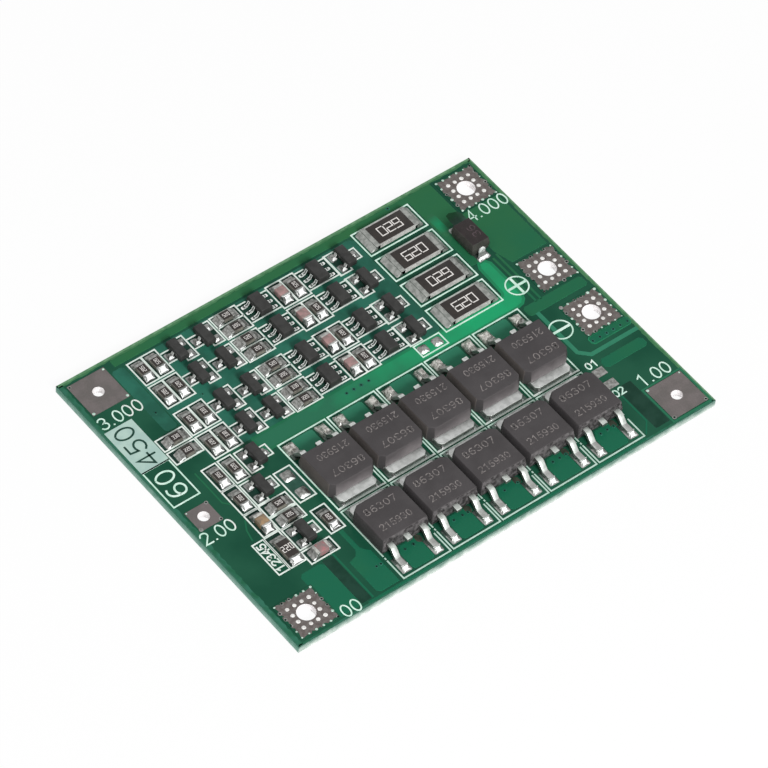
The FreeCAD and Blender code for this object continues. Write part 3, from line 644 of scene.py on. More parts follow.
# %% [markdown]
# ## Softened edges
#
# A moulded case, a bent lead and a chip's end cap all have slightly rounded edges, which catch a
# thin line of light. A copy of the solid's mesh is merged, its flat faces are joined, and the
# outer edges are bevelled. The copy then stands for the solid.

# %% Bevelled copies of the solids
SHARPEST, FLATTEST = math.radians(25), math.radians(1)
NEAR, LEFT, KEY_MIRROR = Vector((0, -1, 0)), Vector((-1, 0, 0)), Vector((-0.29, -0.65, 0.70))


def reshaped(name, source, change, finishes, smooth):
    """A changed copy of a node, with its flat faces joined, that stands for the node."""
    copy = merged_copy(source)
    bmesh.ops.dissolve_limit(copy, angle_limit=FLATTEST, verts=copy.verts, edges=copy.edges)
    change(copy)
    mesh = bpy.data.meshes.new(name)
    copy.to_mesh(mesh)
    copy.free()
    dress(mesh, finishes)
    item = keep(name, mesh, smooth)
    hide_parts(source)
    return item


def softened(name, source, width, finishes, segments=2):
    """A copy with bevelled edges; a second finish is that of the bevels."""
    def soften(copy):
        sharp = [edge for edge in copy.edges
                 if len(edge.link_faces) == 2 and edge.calc_face_angle_signed(0) > SHARPEST]
        bmesh.ops.bevel(copy, geom=sharp, offset=width * MM, segments=segments, profile=0.5,
                        affect="EDGES", clamp_overlap=True, material=1 if " " in finishes else -1)

    return reshaped(name, source, soften, finishes, 40)


def bordered(name, source, width, finishes):
    """A copy whose upper faces, taken together, have a border of the second finish."""
    def border(copy):
        upper = [face for face in copy.faces if face.normal.z > 0.2]
        inset = bmesh.ops.inset_region(copy, faces=upper, thickness=width * MM,
                                       use_even_offset=True)
        for face in inset["faces"]:
            face.material_index = 1

    return reshaped(name, source, border, finishes, 30)


def facing(item, name, least, *directions):
    """Gives another finish to the faces of the first finish that look in a direction."""
    dress(item.data, name)
    index = len(item.data.materials) - 1
    for face in item.data.polygons:
        if face.material_index == 0 and max(face.normal.dot(way) for way in directions) > least:
            face.material_index = index


# The first five power transistors are the far bank
FAR_BANK = range(1, 6)
MOSFETS = range(1, 11)
TAB_AREA, STUB_HEIGHT = 2 * MM ** 2, 2.3 * MM
SIDE_ON, GLINTING, LEFT_END = 0.75, 0.88, -22 * MM
for number in MOSFETS:
    far = number in FAR_BANK
    case = softened(f"power_case_{number}", f"mosfet_body_{number}", 0.2, "moulded_case",
                    3)
    # Lit copies of the case: painted light on the far bank's near faces and on its left faces,
    # which lie in shade; the near bank's near faces get flux with painted shade
    facing(case, "moulded_case_in_light" if far else "moulded_case_with_flux", SIDE_ON, NEAR)
    if far:
        facing(case, "moulded_case_in_shade", SIDE_ON, LEFT)
    leads = softened(f"power_leads_{number}", f"mosfet_leadframe_{number}", 0.06, "tinned_copper")
    facing(leads, "tinned_copper_in_light", GLINTING, KEY_MIRROR)
    # Painted light: the tops of the tab and of the stubs get lighter finishes than the rest of the
    # tin
    dress(leads.data, "tab_of_a_power_case bright_tin")
    for face in leads.data.polygons:
        tab = face.area > TAB_AREA
        if face.normal.z > 0.9 and (tab or face.center.z > STUB_HEIGHT):
            face.material_index = 2 if tab else 3 if far else 1
for number in range(1, 9):
    softened(f"monitor_case_{number}", f"monitor_chip_{number}", 0.05, "small_moulded_case")
for number in range(1, 5):
    # The pins' border is a painted highlight along their edges
    bordered(f"monitor_pins_{number}", f"monitor_leads_row_{number}", 0.075, "pin_tin bright_tin")
for name, source, width, finishes, slot in (
    ("transistor_cases", "transistor_bodies", 0.05, "small_moulded_case", "moulded_black"),
    # Painted highlight on the bevels of the transistor pins
    ("transistor_pins", "transistor_leads", 0.04, "tinned_copper bright_tin", "tinned_lead"),
    ("resistor_caps", "chip_resistor_ends", 0.06, "dull_solder", "solder"),
    ("capacitor_caps", "capacitor_ends", 0.07, "pale_solder", "solder"),
    ("capacitor_blocks", "capacitor_bodies", 0.05, "brown_capacitor_ceramic", "capacitor_ceramic"),
    ("balance_caps", "balance_resistor_caps", 0.05, "smooth_solder tinned_copper", "solder"),
    ("resistor_coats", "chip_resistor_coats", 0.02, "dark_resistor_coat", "resistor_coat"),
    ("balance_coats", "balance_resistor_coats", 0.02, "dark_resistor_coat", "resistor_coat"),
):
    softened(name, source, width, finishes)
capacitors = bpy.data.objects["capacitor_blocks"].data
dress(capacitors, "tan_capacitor_ceramic rose_capacitor_ceramic")
for face in capacitors.polygons:
    if face.center.y < 0:
        face.material_index = 1 if face.center.x < LEFT_END else 2
diode_case = softened("diode_case", "diode_body", 0.08, "diode_case")
# Painted light: the left and near sides of the diode get a lighter copy of its finish
facing(diode_case, "diode_case_sides", SIDE_ON, LEFT, NEAR)

# %% The diode's leads
# Stations of a lead from its foot to its tip: y, z and width
TONGUE = [(9.45, 1.13, 1.45), (9.62, 1.14, 1.42), (9.78, 1.2, 1.15), (9.86, 1.45, 0.98),
          (9.88, 1.9, 0.95), (9.91, 2.14, 0.84), (9.95, 2.28, 0.6), (9.99, 2.34, 0.25)]
TONGUE_HALF = 0.06


def tongue(form, middle, side):
    """A folded lead against one end of the diode; side is -1 at the near end, 1 at the far one."""
    rings = []
    for index, (y, z, width) in enumerate(TONGUE):
        before, after = TONGUE[max(index - 1, 0)], TONGUE[min(index + 1, len(TONGUE) - 1)]
        run = Vector((0, -side * (after[0] - before[0]), after[1] - before[1])).normalized()
        across = Vector((-side, 0, 0))
        back = run.cross(across)
        centre = Vector((middle.x, middle.y + side * (middle.y - y), z))
        rings.append([centre + across * width / 2 * u + back * TONGUE_HALF * v
                      for u, v in rectangle(-1, -1, 1, 1)])
    form.loft(rings)


tongues, diode = Form(), solids("diode_body")[0]
for side in (-1, 1):
    tongue(tongues, diode.middle, side)
# The strap's finish brightens towards the tip: a painted highlight
diode_straps = piece("diode_straps", tongues, "folded_strap", 50)
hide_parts("diode_leads")

# %% [markdown]
# ## Lines of one width
#
# Ink lines, figures and buried traces are all a path with a width. `beside` moves a path to its
# left by a distance, with proper corners, so a line is the strip between two such paths, and a
# flat shape gets a sloping edge from its own shrunken outline.

# %% Paths, lines and sloping plates
SHARPEST_CORNER = 0.4


def beside(points, distance, closed):
    """The path moved to its left; at a corner the point keeps the distance to both runs."""
    points = [Vector(point) for point in points]
    count, moved = len(points), []
    for index, point in enumerate(points):
        runs = []
        if index > 0 or closed:
            runs.append((point - points[index - 1]).normalized())
        if index < count - 1 or closed:
            runs.append((points[(index + 1) % count] - point).normalized())
        sides = [Vector((-run.y, run.x)) for run in runs]
        middle = sum(sides, Vector((0, 0))).normalized()
        moved.append(point + middle * distance / max(middle.dot(sides[0]), SHARPEST_CORNER))
    return moved


def strip(form, right, left, low, high, closed=False, finish=0):
    """A closed skin between two paths that run side by side."""
    corners = []
    for a, b in zip(right, left):
        corners += [(*a, low), (*b, low), (*a, high), (*b, high)]
    count, faces = len(right), []
    for index in range(count if closed else count - 1):
        i, j = 4 * index, 4 * ((index + 1) % count)
        faces += [(i + 2, j + 2, j + 3, i + 3), (i + 1, j + 1, j, i)]
        faces += [(j + 1, i + 1, i + 3, j + 3), (i, j, j + 2, i + 2)]
    if not closed:
        last = 4 * (count - 1)
        faces += [(1, 0, 2, 3), (last, last + 1, last + 3, last + 2)]
    form.add(corners, faces, finish)


def line(form, points, width, height, low=TOP, closed=False):
    """A raised line; an open one reaches half its width beyond its ends."""
    if not closed:
        points = [Vector(point) for point in points]
        points[0] = points[0] - (points[1] - points[0]).normalized() * width / 2
        points[-1] = points[-1] + (points[-1] - points[-2]).normalized() * width / 2
    sides = [beside(points, side * width / 2, closed) for side in (-1, 1)]
    strip(form, *sides, low, low + height, closed)


def plate(form, outline, height, slope, finish=0):
    """A flat shape on the board, outline anticlockwise, with a sloping edge."""
    inner = beside(outline, slope, True)
    rings = ((outline, TOP), (inner, TOP + height))
    form.loft([[(*spot, z) for spot in ring] for ring, z in rings], finish)


def arc(x, y, wide, tall, first, last, steps=10):
    turns = [math.radians(first + (last - first) * step / steps) for step in range(steps + 1)]
    return [(x + wide * math.cos(turn), y + tall * math.sin(turn)) for turn in turns]


# %% [markdown]
# ## Copper under the mask
#
# The mask is a thin green coat over everything. Where copper lies under it, the surface stands a
# little higher, its edges are soft, and the green is lighter. The areas are thin plates with
# sloping edges on the board. On the thick copper, along its edge and on one small spot, the green
# also grows brighter towards a middle: a painted sheen, standing in for a reflection on the glossy
# mask.

# %% Copper areas and traces
COPPER = 0.02
EDGE_SLOPE = 0.08
MOSFET_COLUMNS = [-11.53, -4.495, 2.54, 9.575, 16.61]
AREAS = [
    [(-22.9, 20.9), (19.8, 20.9), (19.8, 9.2), (21.3, 9.2), (21.3, 15.4), (23.3, 15.4), (23.3, 9.4),
     (24.0, 6.95), (29.2, 6.95), (29.2, 16.1), (23.6, 16.1), (23.6, 22.0), (-22.9, 22.0)],
    eased(23.85, -8.1, 29.55, -6.95, 0.3),
    eased(20.5, -0.7, 29.2, 0.9, 0.3),
    eased(22.8, -11.7, 29.1, -10.2, 0.4),
    eased(-24.0, -21.9, -20.75, -14.7, 0.4),
    [(-18.3, -21.3), (-17.9, -21.7), (-15.3, -21.7), (-15.3, -16.5), (-15.8, -16.0), (-16.1, -15.5),
     (-16.1, -12.4), (-16.7, -12.4), (-16.7, -15.5), (-17.2, -16.2), (-18.3, -16.5)],
    eased(-20.0, -22.35, 20.0, -21.95, 0.15),
]
AREAS += [
    [(x - 1.5, -21.1), (x - 1.2, -21.4), (x + 1.3, -21.4), (x + 1.6, -21.1), (x + 1.6, -18.2),
     (x + 1.4, -17.9), (x - 0.8, -17.9), (x - 1.5, -18.8)] for x in MOSFET_COLUMNS
]
TRACES = [
    ([(21.6, -15.9), (21.6, -20.2), (20.4, -21.6)], 0.2),
    ([(22.55, 8.6), (22.55, 0.9)], 0.3),
    ([(23.25, 8.9), (23.25, 0.9)], 0.3),
    ([(-19.1, -14.5), (-19.1, -21.7)], 0.25),
    ([(-24.75, 3.3), (-24.75, -1.7), (-24.2, -2.3)], 0.2),
    ([(-25.2, -7.8), (-24.9, -6.4), (-24.2, -5.2)], 0.2),
]
THICK_COPPER = [(-16.4, 1.4), (20.3, 1.4), (21.0, 1.55), (21.5, 2.0), (21.75, 2.7), (21.75, 8.3),
                (21.4, 8.9), (20.7, 8.9), (20.4, 8.3), (20.2, 3.9), (19.9, 3.5), (-16.4, 3.5)]


def copper(name, look, outlines=(), traces=(), rings=(), height=COPPER):
    """Areas, traces and closed rings under the mask, as one piece; a ring has its own height."""
    form = Form()
    for outline in outlines:
        plate(form, outline, height, EDGE_SLOPE)
    for points, width in traces:
        line(form, points, width, COPPER)
    for points, width, raised in rings:
        line(form, points, width, COPPER * raised, closed=True)
    piece(name, form, look)


copper("copper_under_mask", "mask_over_copper", AREAS, TRACES)
copper("fine_copper_under_mask", "mask_over_fine_copper",
       [eased(-21.95, 3.7, 10.95, 20.6, 0.5), eased(-23.8, 9.95, -22.1, 20.5, 0.3)],
       height=COPPER / 2)
copper("pale_copper_under_mask", "mask_over_a_wide_trace",
       [eased(x - 1.65, -1.75, x + 1.35, 0.9, 0.2) for x in MOSFET_COLUMNS],
       [([(21.55, -0.9), (21.55, -7.9), (22.7, -9.05), (29.3, -9.05)], 0.55)])
# Painted sheen: the thick copper, its edge and the spot get finishes that brighten towards a middle
copper("copper_edge_under_mask", "mask_beside_thick_copper", rings=[(THICK_COPPER, 0.6, 1.1)])
copper("thick_copper_under_mask", "mask_over_thick_copper", [THICK_COPPER],
       rings=[(rectangle(24.05, -22.15, 29.66, -16.52), 0.24, 1),
              (eased(23.8, -8.12, 29.6, -6.9, 0.3), 0.12, 1.3)], height=COPPER * 1.2)
copper("copper_spot_under_mask", "mask_over_a_copper_spot", [eased(19.95, 14.3, 21.2, 18.3, 0.3)],
       height=COPPER * 1.2)

# %% [markdown]
# ## The cut edge
#
# The mask grows thin towards the cut edge, so the green turns paler there. The two far edges are
# painted paler still, as painted light, and the two near edges less pale, as painted shade. Two
# narrow bands run along each side, and their width wanders, because the cut chips the coat. Each
# corner point gets a small random step with a fixed seed.

# %% Pale bands along the board's top edge
# For each side, anticlockwise from the near one: the width and finish of its outer and inner band
RIM_BANDS = [((0.12, 2), (0.3, 3)), ((0.18, 0), (0.5, 1)), ((0.3, 0), (0.52, 1)),
             ((0.14, 2), (0.62, 3))]
RIM_STEP, RIM_HEIGHT, RIM_FALL = 0.4, 0.014, 0.004


def rim():
    form, dice = Form(), random.Random(7)
    corners = [Vector(corner) for corner in rectangle(*board.plan)]
    for side, bands in enumerate(RIM_BANDS):
        start, end = corners[side], corners[(side + 1) % 4]
        along = (end - start).normalized()
        inward = Vector((-along.y, along.x))
        count = int((end - start).length / RIM_STEP)
        outer = [start.lerp(end, step / count) for step in range(count + 1)]
        for level, (width, tone) in enumerate(bands):
            inner = [point + inward * width * dice.uniform(0.85, 1.15) for point in outer]
            strip(form, outer, inner, TOP, TOP + RIM_HEIGHT - RIM_FALL * level, finish=tone)
    return form


# The far-edge finishes carry painted light and the near-edge ones painted shade
piece("rim_bands", rim(), "mask_at_the_far_edges mask_beside_the_far_edges "
      "mask_at_the_near_edges mask_beside_the_near_edges")

# %% [markdown]
# ## Printed outlines
#
# Every part on the board stands in a printed outline: a closed box for a chip, a power transistor
# or a large resistor, and two open brackets for the small transistors. The rows of the four cells
# are alike, so their outlines are written once, about the row's middle.

# %% Outlines of the four like rows
INK, INK_WIDE, WALL_WIDE = 0.04, 0.18, 0.27
SHADE, SHADE_SLOPE, SHADE_CUT = 0.014, 0.05, 0.1
DARK_PATCH, DARK_PATCH_SLOPE = 0.03, 0.05
ROWS = [18.505, 14.405, 9.665, 5.565]
printed, shaded = Form(), Form()


def ink_line(*points, wide=INK_WIDE, height=INK):
    line(printed, points, wide, height)


def ink_box(*box):
    line(printed, rectangle(*box), INK_WIDE, INK, closed=True)


def shade(x0, y0, x1, y1, tone=0):
    """Painted shade: a darker plate of mask between the lands of a part; tone picks another finish.
    """
    plate(shaded, eased(x0, y0, x1, y1, SHADE_CUT), SHADE, SHADE_SLOPE, tone)


def ink_wall(x, y0, y1):
    """The wide line between two neighbours whose outlines run into one."""
    ink_line((x, y0 + 0.12), (x, y1 - 0.12), wide=WALL_WIDE, height=INK + 0.004)


for y in ROWS:
    for x0, wall, x1 in ((-21.63, -19.7, -17.72), (-1.87, 0.15, 2.08)):
        ink_box(x0, y - 1.85, x1, y + 1.88)
        ink_wall(wall, y - 1.85, y + 1.88)
        shade(x0, y - 1.85, x1, y + 1.88)
    for x in (-17.6, -13.85):
        ink_line((x + 1.3, y + 0.9), (x, y + 0.9))
        ink_line((x, y - 0.75), (x + 1.2, y - 0.75))
        shade(x + 0.05, y - 0.75, x + 1.4, y + 0.9)
        shade(x + 2.3, y - 1.6, x + 3.6, y + 1.7)
        ink_line((x + 3.0, y + 1.8), (x + 3.6, y + 1.8), (x + 3.6, y - 1.65), (x + 2.1, y - 1.65),
                 (x + 2.1, y - 1.3))
    ink_box(-9.95, y - 1.83, -6.32, y + 1.87)
    ink_line((-9.9, y + 0.1), (-6.37, y + 0.1))
    shade(-9.95, y - 1.83, -6.32, y + 1.87)
    for x in (-6.2, 2.2):
        ink_line((x, y + 1.57), (x + 1.2, y + 1.57))
        ink_line((x + 3.5, y + 1.57), (x + 4.2, y + 1.57))
        ink_line((x, y - 1.43), (x + 4.2, y - 1.43))
        shade(x + 0.05, y - 1.35, x + 1.5, y + 1.5)
        shade(x + 2.8, y - 1.35, x + 4.15, y + 1.5)
    ink_wall(6.5, y - 1.8, y + 1.78)
    shade(6.75, y - 1.65, 8.3, y + 1.6)
    shade(8.9, y - 0.75, 10.15, y + 0.75)
    ink_line((7.9, y + 1.7), (6.6, y + 1.7))
    ink_line((6.6, y - 1.72), (8.15, y - 1.72), (8.15, y - 1.35))
    ink_line((9.45, y + 0.82), (10.22, y + 0.82), (10.22, y - 0.8), (9.35, y - 0.8))

# %% Outlines of the other parts
# Boxes with the finish of the plate inside: 0 for painted shade, 2 for the greyer mask of the empty
# place, or None for no plate
BOXES = [
    (-25.65, 7.75, -21.87, 9.6, 0), (-25.65, 5.5, -21.87, 7.4, 0),
    (-29.55, 0.85, -25.95, 6.7, None), (-23.95, -0.42, -22.02, 3.25, 0),
    (-23.95, -4.5, -22.02, -0.52, 0), (-23.95, -8.3, -22.02, -4.62, 0),
    (-24.1, -13.4, -22.05, -8.45, 0), (-25.72, -13.4, -24.2, -8.45, None),
    (-21.7, -0.5, -19.9, 3.25, 0), (-21.8, -6.4, -18.1, -4.5, 0), (-21.8, -8.5, -18.1, -6.6, 0),
    (-21.85, -14.3, -17.95, -12.35, 0), (-17.65, -6.75, -15.4, -1.8, 2),
    (-17.5, -12.2, -15.55, -8.35, 0), (6.65, 1.75, 10.35, 3.6, None),
]
BALANCE = numbered("balance_resistor", 4)
for resistor in BALANCE:
    ink_box(11.15, resistor.middle.y - 1.93, 19.5, resistor.middle.y + 1.93)
for *box, tone in BOXES:
    ink_box(*box)
    if tone is not None:
        shade(*box, tone)
# Two strips of darker mask beside the terminals
shade(21.8, -21.7, 23.85, -14.6, 3)
shade(-20.7, -21.8, -19.3, -14.6, 3)
# Painted shadow of the diode on the board beyond its far end
plate(shaded, [(21.9, 14.7), (23.6, 14.7), (23.9, 15.2), (23.95, 16.0), (23.6, 16.8), (22.6, 17.2),
               (22.0, 17.0), (21.85, 16.0)], 0.03, 0.12, 4)
for x, y in ((-19.5, 1.4), (-21.75, -2.6), (-21.75, -10.3)):
    shade(x + 0.1, y - 1.65, x + 1.7, y + 1.6)
    ink_line((x + 1.25, y + 1.7), (x, y + 1.7), (x, y - 1.72), (x + 1.55, y - 1.72),
             (x + 1.55, y - 1.4))
    ink_line((x + 2.85, y + 0.8), (x + 3.68, y + 0.8), (x + 3.68, y - 0.8), (x + 2.8, y - 0.8))
BANK_EDGES = [(-14.78, -8.13), (-7.73, -1.04), (-0.67, 5.95), (6.3, 12.96), (13.36, 20.0)]
FAR_BANK_LINE, NEAR_BANK_LINE, RAISED_INK = -10.04, -10.45, 0.08
for x0, x1 in BANK_EDGES:
    ink_box(x0, FAR_BANK_LINE, x1, 1.13)
    ink_line((x0, -18.85), (x0, -21.76), (x1, -21.76), (x1, -18.85))
    ink_line((x0, -18.0), (x0, NEAR_BANK_LINE), (x1, NEAR_BANK_LINE), (x1, -18.0))
    for y, wide in ((FAR_BANK_LINE, 0.23), (NEAR_BANK_LINE, INK_WIDE)):
        ink_line((x0 + 0.1, y), (x1 - 0.1, y), wide=wide, height=RAISED_INK)
    middle = (x0 + x1) / 2
    plate(shaded, rectangle(middle - 2.5, -9.9, middle + 2.5, -9.5), 0.065, 0.01, 5)
    ink_line((x0, -18.4), (x0, -18.5))

# %% [markdown]
# ## Signs and figures
#
# The two polarity signs are rings with bars. Figures on a board are drawn with one stroke width,
# like those of a plotter, so each one here is a path in a cell one wide and two high, and any
# height, turn and thickness comes from the same ten paths. The words of the original board are
# left out: plain numbers stand in their places.

# %% Polarity signs
SIGN_RADIUS, SIGN_BAR = 1.38, 0.32
for x, y, upright in ((22.2, 3.88, True), (22.16, -4.18, False)):
    line(printed, disc(x, y, SIGN_RADIUS, 40), INK_WIDE, INK, closed=True)
    ink_line((x - 1.15, y), (x + 1.15, y), wide=SIGN_BAR)
    if upright:
        ink_line((x, y - 1.15), (x, y - 0.33), wide=SIGN_BAR)
        ink_line((x, y + 0.33), (x, y + 1.15), wide=SIGN_BAR)
# Dark patches: beside the far bank's leads they are painted shade, beside the near bank's right
# leads flux
for x in MOSFET_COLUMNS:
    for side in (x - 2.28, x + 2.28):
        dark_patch = eased(side - 0.75, -1.7, side + 0.75, -0.12, 0.2)
        plate(shaded, dark_patch, DARK_PATCH, DARK_PATCH_SLOPE, 1)
    plate(shaded, eased(x + 1.1, -18.9, x + 1.95, -17.7, 0.3), DARK_PATCH, DARK_PATCH_SLOPE, 1)
# The plates on the mask: painted shade, flux with painted shade, the empty place, darker strips,
# the diode's painted shadow and thin mask on land
piece("mask_between_lands", shaded, "mask_in_shade dark_flux mask_of_the_empty_place "
      "mask_over_a_bare_strip mask_behind_the_diode thin_mask_on_land")

# %% Ten figures
ROUND = {
    "0": [arc(0.5, 1, 0.5, 1, 90, 430, 20)],
    "1": [[(0.12, 1.6), (0.55, 2), (0.55, 0)]],
    "2": [arc(0.5, 1.48, 0.48, 0.52, 170, -25, 9) + [(0, 0), (1, 0)]],
    "3": [arc(0.46, 1.52, 0.44, 0.48, 155, -85, 9) + arc(0.46, 0.52, 0.52, 0.52, 80, -155, 9)],
    "4": [[(0.78, 0), (0.78, 2), (0, 0.6), (1.05, 0.6)]],
    "5": [[(0.92, 2), (0.2, 2), (0.1, 1.1)] + arc(0.46, 0.62, 0.52, 0.62, 125, -150, 10)],
    "6": [arc(0.62, 1.0, 0.58, 1.0, 65, 170, 6) + arc(0.5, 0.58, 0.48, 0.58, 175, 500, 14)],
    "7": [[(0, 2), (1, 2), (0.35, 0)]],
    "8": [arc(0.5, 1.5, 0.42, 0.48, 90, 440, 14), arc(0.5, 0.52, 0.5, 0.52, 90, 440, 14)],
    "9": [arc(0.38, 1.0, 0.58, 1.0, 245, 350, 6) + arc(0.5, 1.42, 0.48, 0.58, -5, 320, 14)],
    ".": [[(0.1, 0.05), (0.14, 0.05)]],
}
SQUARE = {
    "0": [[(0, 0), (1, 0), (1, 2), (0, 2), (0, 0)]],
    "1": [[(0.5, 0), (0.5, 2)]],
    "2": [[(0, 2), (1, 2), (1, 1), (0, 1), (0, 0), (1, 0)]],
    "3": [[(0, 2), (1, 2), (1, 0), (0, 0)], [(0.2, 1), (0.9, 1)]],
    "5": [[(1, 2), (0, 2), (0, 1), (1, 1), (1, 0), (0, 0)]],
    "6": [[(1, 2), (0, 2), (0, 0), (1, 0), (1, 1), (0, 1)]],
}


def write(form, text, x, y, turn, size, height, low=TOP, style=ROUND):
    """Writes figures centred on x, y; turn is in degrees from reading along +X."""
    wide, tall, gap, thick = size
    widths = [0.25 * wide if figure == "." else wide for figure in text]
    start = -(sum(widths) + gap * (len(text) - 1)) / 2
    cosine, sine = math.cos(math.radians(turn)), math.sin(math.radians(turn))
    for figure, width in zip(text, widths):
        for path in style[figure]:
            spots = []
            for u, v in path:
                across, up = start + u * wide, (v / 2 - 0.5) * tall
                spots.append((x + across * cosine - up * sine, y + across * sine + up * cosine))
            line(form, spots, thick, height, low)
        start += width + gap

# %% Figures beside the terminals
# Each size: width, height, gap and stroke of a figure
TERMINAL_SIZE = (0.95, 1.62, 0.4, 0.175)
for text, x, y, turn, size in (
    ("4.000", 26.85, 15.25, 0, TERMINAL_SIZE), ("3.000", -26.5, 15.0, 0, TERMINAL_SIZE),
    ("2.00", -27.6, -4.68, 0, TERMINAL_SIZE), ("1.00", 26.7, -15.4, 0, TERMINAL_SIZE),
    ("00", -22.05, -21.55, 0, TERMINAL_SIZE), ("01", 21.7, -10.23, 0, (0.6, 0.9, 0.25, 0.17)),
    ("02", 21.7, -15.15, 0, (0.6, 0.95, 0.25, 0.17)),
    ("60", -27.8, 3.75, 90, (1.55, 2.3, 0.7, 0.24)),
    ("12345", -24.96, -10.92, 90, (0.62, 0.95, 0.25, 0.19)),
):
    write(printed, text, x, y, turn, size, INK)


def ink_tone(x, y):
    """Brighter ink round the small parts and between the banks, dimmer ink below the near bank."""
    if -25.8 < x < 10.5 and (y > 3.65 or x < -15.3 and y > -14.5) or abs(y - FAR_BANK_LINE) < 0.2:
        return 1
    return 2 if y < -10.6 and -15 < x < 20.2 else 0


lines = piece("printed_lines", printed, "white_ink thick_white_ink thin_white_ink")
for face in lines.data.polygons:
    face.material_index = ink_tone(*(face.center.xy / MM))

field, dark_figures = Form(), Form()
outline = rectangle(-29.66, 6.62, -25.85, 13.78)
field.loft([[(*spot, z) for spot in outline] for z in (TOP, TOP + INK)])
piece("printed_field", field, "white_ink_field")
write(dark_figures, "450", -27.8, 10.2, 90, (1.55, 2.3, 0.7, 0.26), 0.006, TOP + INK)
piece("field_figures", dark_figures, "mask_seen_through_ink")

# %% [markdown]
# ## Vias
#
# A via is a plated hole through the board. A field of them round each large terminal carries the
# current to the other side. They repeat, so Geometry Nodes place them: a mesh of loose points
# says where, and one small turned shape is set on each point, with a slightly different size
# each. The result is turned into a plain mesh, and the points and the shape are deleted.

# %% A node tree that repeats a shape on points
def make_repeat_tree():
    tree, given = new_group(
        "repeat_on_points", "GeometryNodeTree",
        {"Points": "NodeSocketGeometry", "Shape": "NodeSocketObject", "Smallest": FLOAT,
         "Largest": FLOAT, "Seed": "NodeSocketInt", "Finish": "NodeSocketMaterial"},
        {"Result": "NodeSocketGeometry"},
    )
    shape = add_node(tree, "GeometryNodeObjectInfo", {"Object": given["Shape"]})["Geometry"]
    scale = add_node(tree, "FunctionNodeRandomValue", {
        "Min": given["Smallest"], "Max": given["Largest"], "Seed": given["Seed"],
    }, data_type="FLOAT")["Value"]
    spread = add_node(tree, "GeometryNodeInstanceOnPoints",
                      {"Points": given["Points"], "Instance": shape, "Scale": scale})[0]
    real = add_node(tree, "GeometryNodeRealizeInstances", {"Geometry": spread})[0]
    coloured = add_node(tree, "GeometryNodeSetMaterial",
                        {"Geometry": real, "Material": given["Finish"]})[0]
    add_node(tree, "NodeGroupOutput", {"Result": coloured})
    return tree


REPEAT_TREE = make_repeat_tree()


def repeated(name, spots, rings, look, smallest, largest, seed):
    """Sets a turned shape on every spot; rings are radius and height pairs in millimetres."""
    turned, grid = Form(), Form()
    turned.loft([[(*spot, high) for spot in disc(0, 0, radius, 12)] for radius, high in rings])
    grid.add(spots, [])
    shape, points = (add_object(label, form.mesh(label))
                     for label, form in (("shape", turned), ("points", grid)))
    repeat = points.modifiers.new("repeat", "NODES")
    repeat.node_group = REPEAT_TREE
    values = {"Shape": shape, "Smallest": smallest, "Largest": largest, "Seed": seed,
              "Finish": looks[look]}
    for socket in REPEAT_TREE.interface.items_tree:
        if socket.in_out == "INPUT" and socket.name in values:
            repeat[socket.identifier] = values[socket.name]
    ready = points.evaluated_get(bpy.context.evaluated_depsgraph_get())
    mesh = bpy.data.meshes.new_from_object(ready)
    mesh.name = name
    for item in (points, shape):
        bpy.data.objects.remove(item)
    return keep(name, mesh, 40)


# %% Vias in and around the terminals
LARGE = [(26.72, 18.94), (26.72, 3.87), (26.72, -4.18), (-26.42, -19.19)]
LAND = TOP + 0.05
LAND_HALF, EDGE_STEPS = 2.71, 96


def square_ring(count):
    """The outer places of a square grid whose pitch is one millimetre."""
    steps = [index - (count - 1) / 2 for index in range(count)]
    return [(x, y) for x in steps for y in steps if max(abs(x), abs(y)) > count / 2 - 1]


filled = [(x + u, y + v, TOP) for x, y in LARGE for u, v in square_ring(4)]
repeated("filled_vias", filled, [(0.26, -0.02), (0.26, 0.05), (0.2, 0.075), (0.1, 0.085)],
         "tin_in_a_via", 0.94, 1.04, 3)
dice, creep = random.Random(11), Form()
for x, y in LARGE:
    outer_path, inner_path = [], []
    for step in range(EDGE_STEPS):
        turn = 2 * math.pi * step / EDGE_STEPS
        reach = LAND_HALF / max(abs(math.cos(turn)), abs(math.sin(turn)))
        depth = dice.uniform(0.03, 0.42)
        for path, length in ((outer_path, reach + 0.04), (inner_path, reach - depth)):
            path.append((x + length * math.cos(turn), y + length * math.sin(turn)))
    strip(creep, outer_path, inner_path, TOP, LAND + 0.006, closed=True)
piece("mask_over_land_edges", creep, "mask_over_laminate")
border = [(x + u, y + v, LAND - 0.03) for x, y in LARGE for u, v in square_ring(6)]
border += [(x, y, LAND - 0.03) for x, y in (
    (-28.9, 21.4), (-24.2, 21.4), (-28.9, 16.75), (-24.2, 16.75), (24.5, -16.95), (29.2, -16.95),
    (24.5, -21.7), (29.2, -21.7), (-26.2, -0.65), (-26.2, -3.4), (-28.95, -3.4), (-28.95, -0.65),
)]
tinned = [spot for spot in border if dice.random() < 0.6]
open_ones = [spot for spot in border if spot not in tinned]
repeated("tinned_border_vias", tinned, [(0.2, 0.0), (0.2, 0.03), (0.14, 0.05), (0.07, 0.055)],
         "tin_in_a_small_via", 0.65, 1.0, 5)
repeated("border_via_rims", open_ones, [(0.26, 0.0), (0.25, 0.035), (0.17, 0.04)], "dull_solder",
         0.85, 1.05, 6)
repeated("border_via_holes", open_ones, [(0.13, 0.03), (0.13, 0.044)], "shaded_hole",
         0.9, 1.1, 8)

